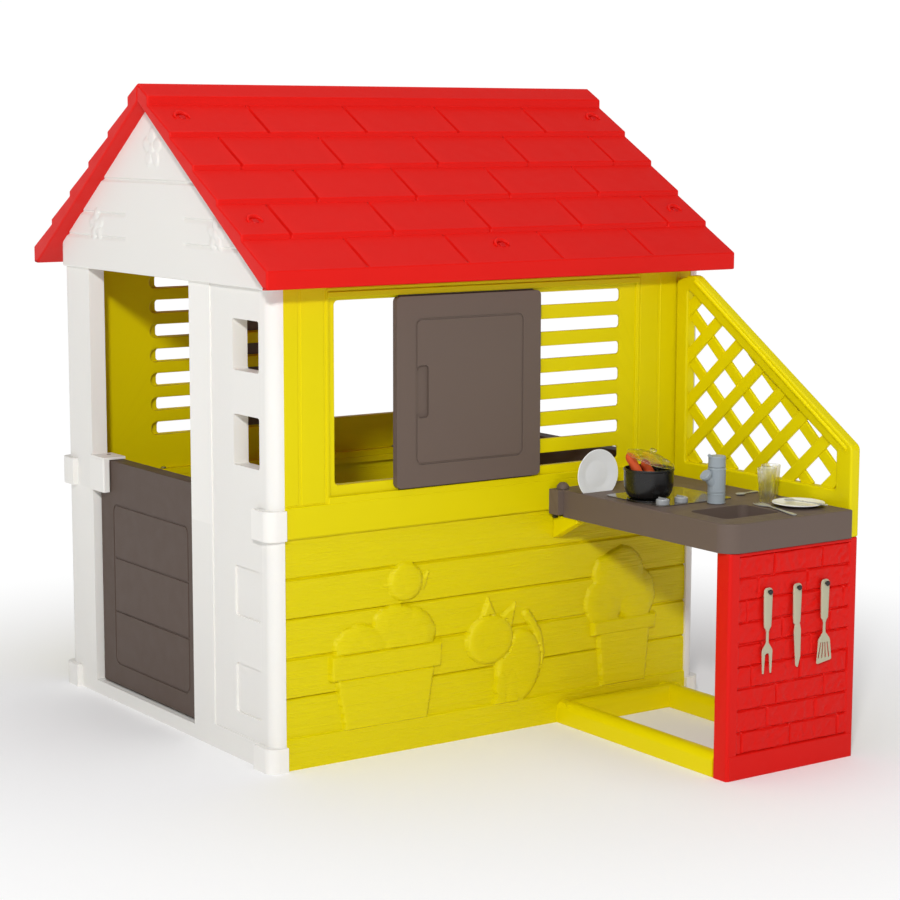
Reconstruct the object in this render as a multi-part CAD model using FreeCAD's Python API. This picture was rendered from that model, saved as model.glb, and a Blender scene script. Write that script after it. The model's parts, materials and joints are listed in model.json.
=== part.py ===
import FreeCAD, Part
import math
import os

# A child's plastic playhouse with a kitchen on its right side.
# Millimetres, +Z up, the floor at Z = 0. The front gable faces -Y and the kitchen stands at +X.
# Everything is drawn about the centre of the house and shifted by CENTRE_X when it is written,
# so that the written model stands with its own box centred on the origin.

# Overall sizes of the house.
HOUSE_WIDTH = 880.0          # X, across the corner blocks
HOUSE_LENGTH = 1046.0        # Y, across the corner blocks
EAVE_OVERHANG = 50.0         # X, roof past the corner blocks
VERGE_OVERHANG = 27.0        # Y, roof past the corner blocks
RIDGE_HEIGHT = 1270.0
KITCHEN_REACH = 513.0        # X, from the house's long wall to the side panel's outer face

# Walls.
SEAM_HEIGHT = 437.0          # lower wall mouldings meet the upper ones here
WALL_TOP = 906.0             # end walls end here and carry the gables
END_WALL_THICKNESS = 34.0
LONG_WALL_THICKNESS = 26.0
CORNER_RETURN = 28.0         # how far the white corner wraps round to the long side
BLOCK_PROUD_END = 12.0       # corner blocks stand out from the end walls
BLOCK_PROUD_SIDE = 8.0       # and from the long sides
BLOCK_WIDTH = 62.0
BASE_BLOCK_HEIGHT = 47.0
BAND_HEIGHT = 56.0           # corner bands above the seam
CORNER_RADIUS = 24.0
FIELD_LEFT = 207.0           # shallow field of the end wall, right of the doorway band
FIELD_RIGHT = 396.0
FIELD_DEPTH = 2.5
PLINTH_HEIGHT = 60.0
PLINTH_PROUD = 4.0
LOWER_WALL_SETBACK = 2.0     # lower long wall behind the upper one
LOWER_BOARDS = 5
FLANGE_DEPTH = 16.0          # inside flanges that the wall screws join
FLANGE_HEIGHT = 14.0
FLANGE_DOORWAY_MARGIN = 8.0  # the flange stays clear of the hinge side of the doorway
FLANGE_JAMB_MARGIN = 60.0    # and of the jamb on the other side

# Doorway and half door.
DOORWAY_LEFT = -308.0        # X of the reveal on the hinge side
DOORWAY_RIGHT = 125.0
SILL_HEIGHT = 28.0
DOOR_TOP = 503.0
DOOR_BOTTOM_GAP = 4.0
DOOR_THICKNESS = 34.0
DOOR_RECESS = 12.0           # door face behind the end wall's face
DOOR_SIDE_GAP = 4.0          # closing edge to the far reveal
HINGE_SIDE_GAP = 0.4         # rounded hinge edge to the near reveal
DOOR_PIN_RADIUS = 5.0
PIN_RUNNING_GAP = 0.06
DOOR_PIN_REACH = 9.0         # how far the lower pin goes into the sill
DOOR_PIN_END_GAP = 1.0       # below the lower pin
HINGE_LIP_THICKNESS = 5.0
HINGE_LIP_GAP = 1.5
HINGE_BLOCK_WIDTH = 60.0
HINGE_BLOCK_PROUD = 5.0
HINGE_BLOCK_LAP = 6.0        # the block covers this much of the post
HINGE_BLOCK_CORNER = 4.0
HINGE_LIP_SETBACK = 1.0      # lip behind the block's face
HINGE_GAP = 1.0              # block in front of the door's face
DOOR_CORNER = 10.0
DOOR_EDGE_RADIUS = 6.0
DOOR_FIELD_MARGIN = 34.0     # door field from the leaf's edges
DOOR_FIELD_FOOT = 44.0       # from the bottom edge
DOOR_FIELD_HEAD = 88.0       # from the top edge
DOOR_FIELD_CORNER = 18.0
DOOR_GROOVE = 4.0
DOOR_GROOVE_DEPTH = 2.0

# Openings in the end wall to the right of the door.
PEEP_WIDTH = 96.0
PEEP_HEIGHT = 96.0
PEEP_LEFT = 290.0
PEEP_SILLS = (564.0, 742.0)
BLIND_SILLS = (90.0, 277.0)
BLIND_DEPTH = 7.0
BLIND_CORNER = 8.0
PEEP_CORNER = 5.0

# Windows in the long walls, in the right wall's own Y.
WINDOW_START = -371.0
WINDOW_WIDTH = 318.0
WINDOW_SILL = 529.0
WINDOW_HEAD = 873.0
LOUVRE_START = 12.0
LOUVRE_WIDTH = 290.0
LOUVRE_COUNT = 7
LOUVRE_PITCH = 53.0
LOUVRE_SLOT = 25.0
LOUVRE_HEAD = 869.0

# Sliding shutters.
TRACK_START = -383.0
TRACK_WIDTH = 725.0
TRACK_DEPTH = 4.0
SHUTTER_WIDTH = 336.0
SHUTTER_BOTTOM = 512.0
SHUTTER_TOP = 875.0
SHUTTER_PROUD = 10.0         # shutter face in front of the wall's face
SHUTTER_TONGUE = 7.0
SHUTTER_CORNER = 10.0
TONGUE_INSET = 12.0
TONGUE_GAP = 1.0             # above and below the tongues
SHUTTER_FIELD = 42.0         # from the shutter's edges to its framed field
SHUTTER_GROOVE = 4.0
SHUTTER_GROOVE_DEPTH = 2.0
SHUTTER_FIELD_CORNER = 14.0
GRIP_WIDTH = 26.0
GRIP_HEIGHT = 100.0
GRIP_DEPTH = 6.0
GRIP_CORNER = 8.0
SLIDE_GAP = 0.3
LIP_HEIGHT = 12.0
LIP_THICKNESS = 4.0
LIP_CLEARANCE = 3.0          # between a lip and the shutter's edge
LIP_OVERRUN = 6.0            # the lips run past the ends of the track
RIGHT_SHUTTER_AT = -242.0    # Y of the shutter's left edge as it stands
LEFT_SHUTTER_AT = -148.0     # the same on the other wall, in that wall's own Y

# Roof.
TILE_ROWS = 5
TILE_PITCH = 223.0
TILE_STEP = 10.0
ROOF_CLEAR = 20.0            # cutters for the screw seats start this far outside the roof
CAP_HALF_WIDTH = 43.0
CAP_SLOPE_FALL = 24.0
CAP_STEP = 17.0
RIDGE_THICKNESS = 34.0
EAVE_THICKNESS = 33.0        # lowest tile row above the line of the underside
FASCIA_HEIGHT = 24.0
FASCIA_THICKNESS = 12.0
JOINT_WIDTH = 4.0
JOINT_DEPTH = 3.0
JOINT_START = 1.5            # joints start this far down from the row above
JOINT_CLEAR = 4.0            # cutters stand this far out of the roof
ROOF_SEAT_GAP = 0.3

# Gables.
GABLE_PROUD = 8.0
GABLE_SKIRT = 8.0            # the gable's skin hangs this far in front of the wall
GABLE_EDGE = 27.6            # height of the gable's upright ends
BOARD_GROOVE = 3.0
BOARD_GROOVE_DEPTH = 2.0
GABLE_BOARD_HEIGHTS = (966.0, 1014.0, 1083.0)

# Roof screws.
SCREW_HEAD_RADIUS = 7.0
SCREW_HEAD_HEIGHT = 5.0
SCREW_HEAD_DOME = 2.0
SCREW_HEAD_PROUD = 2.0       # head above the middle of the tile step
SCREW_SEAT_GAP = 1.5         # round the head
SCREW_SHANK_RADIUS = 2.5
SCREW_LENGTH = 60.0
SCREW_TIP_GAP = 4.0          # between the screw's tip and the end of its bore
RIDGE_SCREW_INSET = 42.0     # X, from the ridge cap's edge
EAVE_SCREW_INSET = 129.0     # X, from the eave
ROOF_SCREW_INSET = 52.0      # Y, from the verge
LONG_SCREW_OUTSET = 10.0     # X, where the screw into the long wall enters the roof

# Wall screws.
WALL_SCREW_HEAD_RADIUS = 6.0
WALL_SCREW_HEAD_HEIGHT = 4.0
WALL_SCREW_SHANK_RADIUS = 2.0
WALL_SCREW_LENGTH = 24.0
WALL_SCREW_SPACING = 300.0

# Kitchen.
KITCHEN_FRONT = 135.0        # Y of the worktop's near edge
WORKTOP_DEPTH = 308.0        # Y
WORKTOP_TOP = 480.0
WORKTOP_HEIGHT = 54.0
WORKTOP_SKIN = 4.0
WORKTOP_OVERHANG = 6.0
WORKTOP_CORNER = 35.0
BRACKET_DEPTH = 30.0         # X, wall bracket that the worktop hooks on
BRACKET_LEAD = 13.0          # the bracket starts this far in front of the worktop
BRACKET_EDGE = 2.0           # radius of its long edges
BRACKET_LIFT = 4.0           # the bracket's underside above the worktop's
KNOB_RADIUS = 13.0
KNOB_STEM = 15.0
KNOB_INSET = 10.0            # Y, from the worktop's near edge
PANEL_THICKNESS = 40.0
PANEL_INSET = 12.0           # side panel behind the worktop's near edge
PANEL_TOP_GAP = 1.0
PANEL_SHOULDER = 4.0         # the tongue under the worktop is this much thinner each side
PANEL_CORNER = 6.0
PANEL_BORDER = 24.0
BRICK_ROWS = 9
BRICK_LENGTH = 66.0
MORTAR = 4.0
BRICK_RELIEF = 3.0
LATTICE_THICKNESS = 24.0
LATTICE_TOP_NEAR = 895.0
LATTICE_TOP_FAR = 598.0
LATTICE_STILE = 34.0
LATTICE_RAIL_TOP = 512.0
LATTICE_PITCH_X = 109.0
LATTICE_PITCH_Z = 95.0
LATTICE_STRIP = 27.0
LATTICE_PEAK = 50.0          # X, from the wall to the top of the slope
LATTICE_NEAR_FALL = 13.0     # the top falls this much from there back to the wall
LATTICE_FAR_MARGIN = 8.0     # the far stile is this much wider than the near one
LATTICE_HOLE_START = (50.0, 23.0)    # first whole hole's middle from the field's near low corner
LATTICE_STRIP_THICKNESS = 12.0
FRAME_HEIGHT = 45.0
FRAME_BAR = 38.0
FRAME_EDGE = 4.0             # radius of the bars' top edges
FRAME_INSET = 18.0           # Y, from the side panel's far edge
GUSSET_THICKNESS = 20.0
GUSSET_REACH = 74.0
GUSSET_FALL = 48.0
GUSSET_TIP = 8.0
GUSSET_INSET = 2.0
CLIP_SIZE = 9.0
CLIP_INSET = 2.0

# Sink, hob and plate rack in the worktop.
# Places on the worktop are (X, Y) from its near corner: from the corner beside the house for
# the hob, the pot and the plate rack, and from the outer corner, with X negative, for the rest.
SINK_PLACE = (-108.0, 111.0)
SINK_SIZE = (106.0, 138.0)
SINK_DEPTH = 38.0
SINK_CORNER = 16.0
HOB_PLACE = (182.0, 117.0)
HOB_SIZE = (168.0, 186.0)
HOB_THICKNESS = 2.0
HOB_CORNER = 14.0
BURNER_RADIUS = 42.0
BURNER_THICKNESS = 3.0
RACK_PLACE = (51.0, 43.0)
RACK_LENGTH = 78.0
RACK_DEPTH = 16.0
HOB_KNOB_RADIUS = 13.0
HOB_KNOB_HEIGHT = 10.0
HOB_KNOB_PAST_POT = 10.0     # X, from the pot's rim to the knobs' middles
HOB_KNOB_ROWS = (47.0, 93.0)  # Y, from the worktop's near edge
SPINDLE_RADIUS = 3.0
SPINDLE_DEPTH = 8.0
SPINDLE_END_GAP = 1.0
BOSS_WALL = 4.0
BOSS_FLOOR = 3.0
HOB_KNOB_ROUND = 3.0
POINTER_WIDTH = 4.0
POINTER_HEIGHT = 4.0

# Tap.
TAP_PLACE = (-201.0, 147.0)
TAP_RADIUS = 17.0
TAP_BASE_HEIGHT = 21.0
TAP_SLEEVE_HEIGHT = 49.0
TAP_CAP_HEIGHT = 21.0
TAP_SPINDLE_RADIUS = 9.0
TAP_RING_GAP = 0.4
SPOUT_RADIUS = 7.0
SPOUT_REACH = 34.0
SPOUT_RISE = 42.0            # degrees above level
SPOUT_DISC_RADIUS = 8.0
SPOUT_DISC_THICKNESS = 5.0
SPOUT_HEIGHT = 10.0          # above the sleeve's lower end
TAP_CAP_CROWN = 6.0          # cap above the spindle's top
TAP_EAR_RADIUS = 3.0
TAP_EAR_LENGTH = 12.0

# Pot, lid and sausages.
POT_PLACE = (188.0, 61.0)
POT_RIM_RADIUS = 49.0
POT_BASE_RADIUS = 33.0
POT_HEIGHT = 58.0
POT_WALL = 2.5
POT_BELLY = 0.55             # share of the height where the side becomes upright
SEAT_GAP = 0.3
LEAN_ANGLE = 215.0           # compass direction that the lid's raised side points to
LID_RADIUS = 48.0
LID_THICKNESS = 2.0
LID_RISE = 12.0
LID_TILT = 18.6
LID_KNOB_RADIUS = 6.5
LID_KNOB_HEIGHT = 9.0
SAUSAGE_RADIUS = 9.5
SAUSAGE_RUN = 38.0
SAUSAGE_LIFT = 66.0
SAUSAGE_APART = 21.0

# Plates, tumblers and cutlery.
PLATE_RADIUS = 50.0
PLATE_THICKNESS = 3.0
PLATE_HEIGHT = 8.0
PLATE_PLACE = (-88.0, 253.0)
TUMBLER_TOP_RADIUS = 19.0
TUMBLER_BASE_RADIUS = 14.0
TUMBLER_HEIGHT = 65.0
TUMBLER_WALL = 1.6
TUMBLER_FLOOR = 4.0
TUMBLER_PLACES = ((-161.0, 239.0), (-187.0, 273.0))
CUTLERY_THICKNESS = 3.0
FORK_WIDTH = 24.0
SPOON_BOWL_RADIUS = 11.0
FORK_PLACES = ((-151.0, 203.0), (-13.0, 171.0))
SIDE_SPOON_PLACES = ((-245.0, 237.0), (-257.0, 301.0))
PLATE_SPOON_PLACES = ((-117.0, 245.0), (-23.0, 267.0))

# Tools that hang on the side panel.
HOOK_HEIGHT = 348.0
HOOK_PLACES = (101.0, 173.0, 244.0)    # Y, from the worktop's near edge
HOOK_RADIUS = 3.0
HOOK_REACH = 11.0
HOOK_ROOT = 10.0             # peg inside the panel
HOOK_HEAD_RADIUS = 5.0
HOOK_HEAD_THICKNESS = 2.5
TOOL_THICKNESS = 5.0
TOOL_STANDOFF = 2.5
TOOL_HOLE_RADIUS = 5.2
TOOL_LENGTH = 152.0          # hole to tip

# Values worked out from the ones above.
SIDE_FACE = HOUSE_WIDTH / 2 - BLOCK_PROUD_SIDE       # |X| of the corner posts' side faces
END_FACE = HOUSE_LENGTH / 2 - BLOCK_PROUD_END        # |Y| of the end walls' faces
LONG_FACE = SIDE_FACE - 2.0                          # |X| of the long walls' faces
LONG_BACK = LONG_FACE - LONG_WALL_THICKNESS          # |X| of the long walls' insides
LONG_END = END_FACE - CORNER_RETURN                  # |Y| where the long walls end
END_BACK = END_FACE - END_WALL_THICKNESS             # |Y| of the end walls' insides
DOOR_FACE = -END_FACE + DOOR_RECESS
HINGE_RADIUS = DOOR_THICKNESS / 2
HINGE_X = DOORWAY_LEFT + HINGE_SIDE_GAP + HINGE_RADIUS
HINGE_Y = DOOR_FACE + HINGE_RADIUS
PANEL_FACE = SIDE_FACE + KITCHEN_REACH
TOOLS_FACE = PANEL_FACE + HOOK_REACH + HOOK_HEAD_THICKNESS
ROOF_HALF = HOUSE_WIDTH / 2 + EAVE_OVERHANG
VERGE = HOUSE_LENGTH / 2 + VERGE_OVERHANG
CENTRE_X = (TOOLS_FACE - ROOF_HALF) / 2
KITCHEN_BACK = KITCHEN_FRONT + WORKTOP_DEPTH
BRACKET_BACK = LONG_FACE + LIP_THICKNESS
WORKTOP_NEAR_X = BRACKET_BACK + BRACKET_DEPTH
WORKTOP_FAR_X = PANEL_FACE + WORKTOP_OVERHANG
WORKTOP_UNDERSIDE = WORKTOP_TOP - WORKTOP_HEIGHT
PANEL_NEAR_Y = KITCHEN_FRONT + PANEL_INSET
PANEL_FAR_Y = KITCHEN_BACK + LATTICE_THICKNESS
UNDERSIDE_APEX = RIDGE_HEIGHT - RIDGE_THICKNESS
UNDERSIDE_SLOPE = (UNDERSIDE_APEX - WALL_TOP - GABLE_EDGE) / SIDE_FACE
EAVE_TOP = UNDERSIDE_APEX - UNDERSIDE_SLOPE * ROOF_HALF + EAVE_THICKNESS
EAVE_BOTTOM = EAVE_TOP - FASCIA_HEIGHT
CAP_FOOT = RIDGE_HEIGHT - CAP_SLOPE_FALL - CAP_STEP
TILE_RUN = (ROOF_HALF - CAP_HALF_WIDTH) / TILE_ROWS
TILE_FALL = (CAP_FOOT - EAVE_TOP) / TILE_ROWS
ROOF_SCREW_X = (CAP_HALF_WIDTH + RIDGE_SCREW_INSET, ROOF_HALF - EAVE_SCREW_INSET)
HOB_TOP = WORKTOP_TOP + HOB_THICKNESS
POT_FOOT = HOB_TOP + BURNER_THICKNESS + SEAT_GAP
ON_WORKTOP = WORKTOP_TOP + SEAT_GAP
HOB_KNOB_REACH = POT_PLACE[0] + POT_RIM_RADIUS + HOB_KNOB_PAST_POT
HOB_KNOB_PLACES = [(HOB_KNOB_REACH, row) for row in HOB_KNOB_ROWS]


def on_worktop(place):
    """The point (x, y) that a place on the worktop stands for."""
    x, y = place
    corner = WORKTOP_FAR_X if x < 0 else WORKTOP_NEAR_X
    return corner + x, KITCHEN_FRONT + y


SINK_X, SINK_Y = on_worktop(SINK_PLACE)
HOB_X, HOB_Y = on_worktop(HOB_PLACE)
TAP_X, TAP_Y = on_worktop(TAP_PLACE)
POT_X, POT_Y = on_worktop(POT_PLACE)
RACK_X, RACK_Y = on_worktop(RACK_PLACE)
HOOK_Y = [KITCHEN_FRONT + place for place in HOOK_PLACES]


def box(x0, x1, y0, y1, z0, z1):
    return Part.makeBox(x1 - x0, y1 - y0, z1 - z0, FreeCAD.Vector(x0, y0, z0))


def cylinder(radius, height, at, along=(0, 0, 1)):
    return Part.makeCylinder(radius, height, FreeCAD.Vector(*at), FreeCAD.Vector(*along))


def fuse(shapes):
    result = shapes[0]
    for shape in shapes[1:]:
        result = result.fuse(shape)
    return result.removeSplitter()


def prism(points, along):
    """Extrude a closed outline of 3-D points by the vector along."""
    corners = [FreeCAD.Vector(*point) for point in points]
    wire = Part.makePolygon(corners + corners[:1])
    return Part.Face(wire).extrude(FreeCAD.Vector(*along))


def revolve(points, at):
    """Turn a closed outline of (radius, height) points about the vertical line through at."""
    corners = [FreeCAD.Vector(radius, 0, height) for radius, height in points]
    face = Part.Face(Part.makePolygon(corners + corners[:1]))
    solid = face.revolve(FreeCAD.Vector(0, 0, 0), FreeCAD.Vector(0, 0, 1), 360)
    solid.translate(FreeCAD.Vector(*at))
    return solid


def edges_along(shape, axis, test):
    """Straight edges parallel to an axis (0, 1 or 2) whose middle passes the test."""
    found = []
    for edge in shape.Edges:
        if len(edge.Vertexes) < 2:
            continue
        start = edge.Vertexes[0].Point
        end = edge.Vertexes[1].Point
        others = [i for i in range(3) if i != axis]
        if all(abs(start[i] - end[i]) < 1e-6 for i in others):
            if test((start + end) * 0.5):
                found.append(edge)
    return found


def rounded_box(x0, x1, y0, y1, z0, z1, radius, axis=2):
    block = box(x0, x1, y0, y1, z0, z1)
    return block.makeFillet(radius, edges_along(block, axis, lambda middle: True))


def half_turn(shape):
    """The same moulding on the opposite side of the house."""
    turned = shape.copy()
    turned.rotate(FreeCAD.Vector(0, 0, 0), FreeCAD.Vector(0, 0, 1), 180)
    return turned


def write(name, shape):
    """Put a finished piece in its place about the origin and write it."""
    placed = shape.copy()
    placed.translate(FreeCAD.Vector(-CENTRE_X, 0, 0))
    placed.exportStep("parts/" + name + ".step")


# ---------------------------------------------------------------- end walls

def corner_block(side, bottom, top):
    """A block round the corner post: side is -1 for the left corner and +1 for the right."""
    inner = HOUSE_WIDTH / 2 - BLOCK_WIDTH
    outer = HOUSE_WIDTH / 2
    block = box(inner, outer, -HOUSE_LENGTH / 2, -LONG_END, bottom, top)
    corner = edges_along(block, 2, lambda m: m.x > outer - 1 and m.y < -HOUSE_LENGTH / 2 + 1)
    block = block.makeFillet(CORNER_RADIUS, corner)
    if side < 0:
        block = block.mirror(FreeCAD.Vector(0, 0, 0), FreeCAD.Vector(1, 0, 0))
    return block


def end_wall_post(x0, x1, bottom, top):
    """A stretch of end wall, with its return at the corner that it reaches."""
    front = box(x0, x1, -END_FACE, -LONG_END, bottom, top)
    corner = edges_along(front, 2, lambda m: abs(m.x) > SIDE_FACE - 1 and m.y < -END_FACE + 1)
    front = front.makeFillet(CORNER_RADIUS, corner)
    inner = box(max(x0, -LONG_BACK), min(x1, LONG_BACK), -LONG_END, -END_BACK, bottom, top)
    return fuse([front, inner])


def long_flange_screws():
    """(x, y) of the screws through the right long wall's flange."""
    middle = LONG_BACK - FLANGE_DEPTH / 2
    return [(middle, step * WALL_SCREW_SPACING) for step in (-1, 0, 1)]


def end_flange_screws():
    """(x, y) of the screws through the front wall's flanges: one left of the doorway, two right."""
    y = -END_BACK + FLANGE_DEPTH / 2
    left = -(LONG_BACK + abs(DOORWAY_LEFT)) / 2
    stretch = (LONG_BACK - FLANGE_DEPTH - DOORWAY_RIGHT) / 5
    return [(left, y), (DOORWAY_RIGHT + stretch * 2, y), (DOORWAY_RIGHT + stretch * 4, y)]


def end_flange(bottom, top):
    """Inside flanges of an end wall, each side of the doorway."""
    y0 = -END_BACK
    y1 = y0 + FLANGE_DEPTH
    left = box(-LONG_BACK + FLANGE_DEPTH, DOORWAY_LEFT - FLANGE_DOORWAY_MARGIN, y0, y1, bottom, top)
    right = box(DOORWAY_RIGHT + FLANGE_JAMB_MARGIN, LONG_BACK - FLANGE_DEPTH, y0, y1, bottom, top)
    return left, right


def screw_holes(shape, places, bottom, top):
    for x, y in places:
        shape = shape.cut(cylinder(WALL_SCREW_SHANK_RADIUS + SEAT_GAP, top - bottom, (x, y, bottom)))
    return shape


def shallow_field(bottom, top):
    return box(FIELD_LEFT, FIELD_RIGHT, -END_FACE - 1, -END_FACE + FIELD_DEPTH, bottom, top)


def lower_end_wall():
    top = SEAM_HEIGHT
    left = end_wall_post(-SIDE_FACE, DOORWAY_LEFT, 0, top)
    right = end_wall_post(DOORWAY_RIGHT, SIDE_FACE, 0, top)
    sill = box(DOORWAY_LEFT, DOORWAY_RIGHT, -END_FACE, -END_BACK, 0, SILL_HEIGHT)
    parts = [left, right, sill]
    parts += [corner_block(side, 0, BASE_BLOCK_HEIGHT) for side in (-1, 1)]
    parts += list(end_flange(top - FLANGE_HEIGHT, top))
    wall = fuse(parts)
    for blind_sill in BLIND_SILLS:
        blind = rounded_box(PEEP_LEFT, PEEP_LEFT + PEEP_WIDTH, -END_FACE - 1, -END_FACE + BLIND_DEPTH,
                            blind_sill, blind_sill + PEEP_HEIGHT, BLIND_CORNER, axis=1)
        wall = wall.cut(blind)
    bore_bottom = SILL_HEIGHT - DOOR_PIN_REACH - DOOR_PIN_END_GAP
    bore = cylinder(DOOR_PIN_RADIUS + PIN_RUNNING_GAP, SILL_HEIGHT, (HINGE_X, HINGE_Y, bore_bottom))
    wall = wall.cut(bore)
    wall = wall.cut(shallow_field(BASE_BLOCK_HEIGHT, top))
    return screw_holes(wall, end_flange_screws(), top - FLANGE_HEIGHT, top)


def upper_left_post():
    """The narrow post beside the doorway, with the block and lip that hold the door's upper pin."""
    bottom = SEAM_HEIGHT
    post = end_wall_post(-SIDE_FACE, DOORWAY_LEFT, bottom, WALL_TOP)
    band = corner_block(-1, bottom, bottom + BAND_HEIGHT)
    left_flange = end_flange(bottom, bottom + FLANGE_HEIGHT)[0]
    block_left = DOORWAY_LEFT - HINGE_BLOCK_LAP
    block_right = DOORWAY_LEFT + HINGE_BLOCK_WIDTH
    block_front = -END_FACE - HINGE_BLOCK_PROUD
    lip_bottom = DOOR_TOP + HINGE_LIP_GAP
    lip_top = lip_bottom + HINGE_LIP_THICKNESS
    block = rounded_box(block_left, block_right, block_front, DOOR_FACE - HINGE_GAP,
                        bottom, lip_bottom, HINGE_BLOCK_CORNER)
    lip = box(block_left, block_right, block_front + HINGE_LIP_SETBACK, HINGE_Y + HINGE_RADIUS,
              lip_bottom, lip_top)
    post = fuse([post, band, left_flange, block, lip])
    bore = cylinder(DOOR_PIN_RADIUS + PIN_RUNNING_GAP, lip_top - DOOR_TOP,
                    (HINGE_X, HINGE_Y, DOOR_TOP))
    return screw_holes(post.cut(bore), end_flange_screws()[:1], bottom, bottom + FLANGE_HEIGHT)


def upper_right_wall_end():
    """The wide stretch right of the doorway, with its two small square windows."""
    bottom = SEAM_HEIGHT
    wall = end_wall_post(DOORWAY_RIGHT, SIDE_FACE, bottom, WALL_TOP)
    band = corner_block(1, bottom, bottom + BAND_HEIGHT)
    right_flange = end_flange(bottom, bottom + FLANGE_HEIGHT)[1]
    wall = fuse([wall, band, right_flange]).cut(shallow_field(bottom, WALL_TOP))
    for sill in PEEP_SILLS:
        hole = rounded_box(PEEP_LEFT, PEEP_LEFT + PEEP_WIDTH, -END_FACE - 1, -END_BACK + 1,
                           sill, sill + PEEP_HEIGHT, PEEP_CORNER, axis=1)
        wall = wall.cut(hole)
    return screw_holes(wall, end_flange_screws()[1:], bottom, bottom + FLANGE_HEIGHT)


def half_door():
    """Half door with a rounded hinge edge and a moulded pin at each end of it."""
    bottom = SILL_HEIGHT + DOOR_BOTTOM_GAP
    right = DOORWAY_RIGHT - DOOR_SIDE_GAP
    back = DOOR_FACE + DOOR_THICKNESS
    leaf = box(HINGE_X, right, DOOR_FACE, back, bottom, DOOR_TOP)
    far_corners = edges_along(leaf, 2, lambda m: m.x > right - 1)
    leaf = leaf.makeFillet(DOOR_EDGE_RADIUS, far_corners)
    square = box(right - DOOR_CORNER, right, DOOR_FACE, back, bottom, DOOR_TOP)
    round_end = rounded_box(right - 3 * DOOR_CORNER, right, DOOR_FACE, back, bottom, DOOR_TOP,
                            DOOR_CORNER, axis=1)
    leaf = leaf.cut(square.cut(round_end))
    edge = cylinder(HINGE_RADIUS, DOOR_TOP - bottom, (HINGE_X, HINGE_Y, bottom))
    door = leaf.fuse(edge).removeSplitter()
    field_left = HINGE_X + HINGE_RADIUS + DOOR_FIELD_MARGIN
    field_right = right - DOOR_FIELD_MARGIN
    field_foot = bottom + DOOR_FIELD_FOOT
    field_head = DOOR_TOP - DOOR_FIELD_HEAD
    depth = DOOR_FACE + DOOR_GROOVE_DEPTH
    outer = rounded_box(field_left, field_right, DOOR_FACE - 1, depth,
                        field_foot, field_head, DOOR_FIELD_CORNER, axis=1)
    inner = rounded_box(field_left + DOOR_GROOVE, field_right - DOOR_GROOVE, DOOR_FACE - 2, depth + 1,
                        field_foot + DOOR_GROOVE, field_head - DOOR_GROOVE,
                        DOOR_FIELD_CORNER - DOOR_GROOVE, axis=1)
    groove = outer.cut(inner)
    for third in (1, 2):
        z = field_foot + (field_head - field_foot) * third / 3
        groove = groove.fuse(box(field_left + DOOR_GROOVE / 2, field_right - DOOR_GROOVE / 2,
                                 DOOR_FACE - 1, depth, z - DOOR_GROOVE / 2, z + DOOR_GROOVE / 2))
    door = door.cut(groove)
    upper_pin = cylinder(DOOR_PIN_RADIUS, HINGE_LIP_GAP + HINGE_LIP_THICKNESS,
                         (HINGE_X, HINGE_Y, DOOR_TOP))
    lower_pin = cylinder(DOOR_PIN_RADIUS, DOOR_BOTTOM_GAP + DOOR_PIN_REACH,
                         (HINGE_X, HINGE_Y, SILL_HEIGHT - DOOR_PIN_REACH))
    return fuse([door, upper_pin, lower_pin])


# ---------------------------------------------------------------- long walls

def lower_long_wall():
    """Board-faced lower wall of the right side, with its plinth and inside flange."""
    face = LONG_FACE - LOWER_WALL_SETBACK
    panel = box(LONG_BACK, face, -LONG_END, LONG_END, 0, SEAM_HEIGHT)
    plinth = box(LONG_BACK, face + PLINTH_PROUD, -LONG_END, LONG_END, 0, PLINTH_HEIGHT)
    flange = box(LONG_BACK - FLANGE_DEPTH, LONG_BACK, -LONG_END + FLANGE_DEPTH * 2,
                 LONG_END - FLANGE_DEPTH * 2, SEAM_HEIGHT - FLANGE_HEIGHT, SEAM_HEIGHT)
    wall = fuse([panel, plinth, flange])
    board = (SEAM_HEIGHT - PLINTH_HEIGHT) / LOWER_BOARDS
    for row in range(1, LOWER_BOARDS):
        z = PLINTH_HEIGHT + board * row
        groove = prism([(face + 1, -LONG_END, z - BOARD_GROOVE), (face + 1, -LONG_END, z + BOARD_GROOVE),
                        (face - BOARD_GROOVE_DEPTH, -LONG_END, z)], (0, LONG_END * 2, 0))
        wall = wall.cut(groove)
    return screw_holes(wall, long_flange_screws(), SEAM_HEIGHT - FLANGE_HEIGHT, SEAM_HEIGHT)


def underside_height(x):
    """Height of the roof's underside at a distance x from the ridge."""
    return UNDERSIDE_APEX - UNDERSIDE_SLOPE * abs(x)


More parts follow.
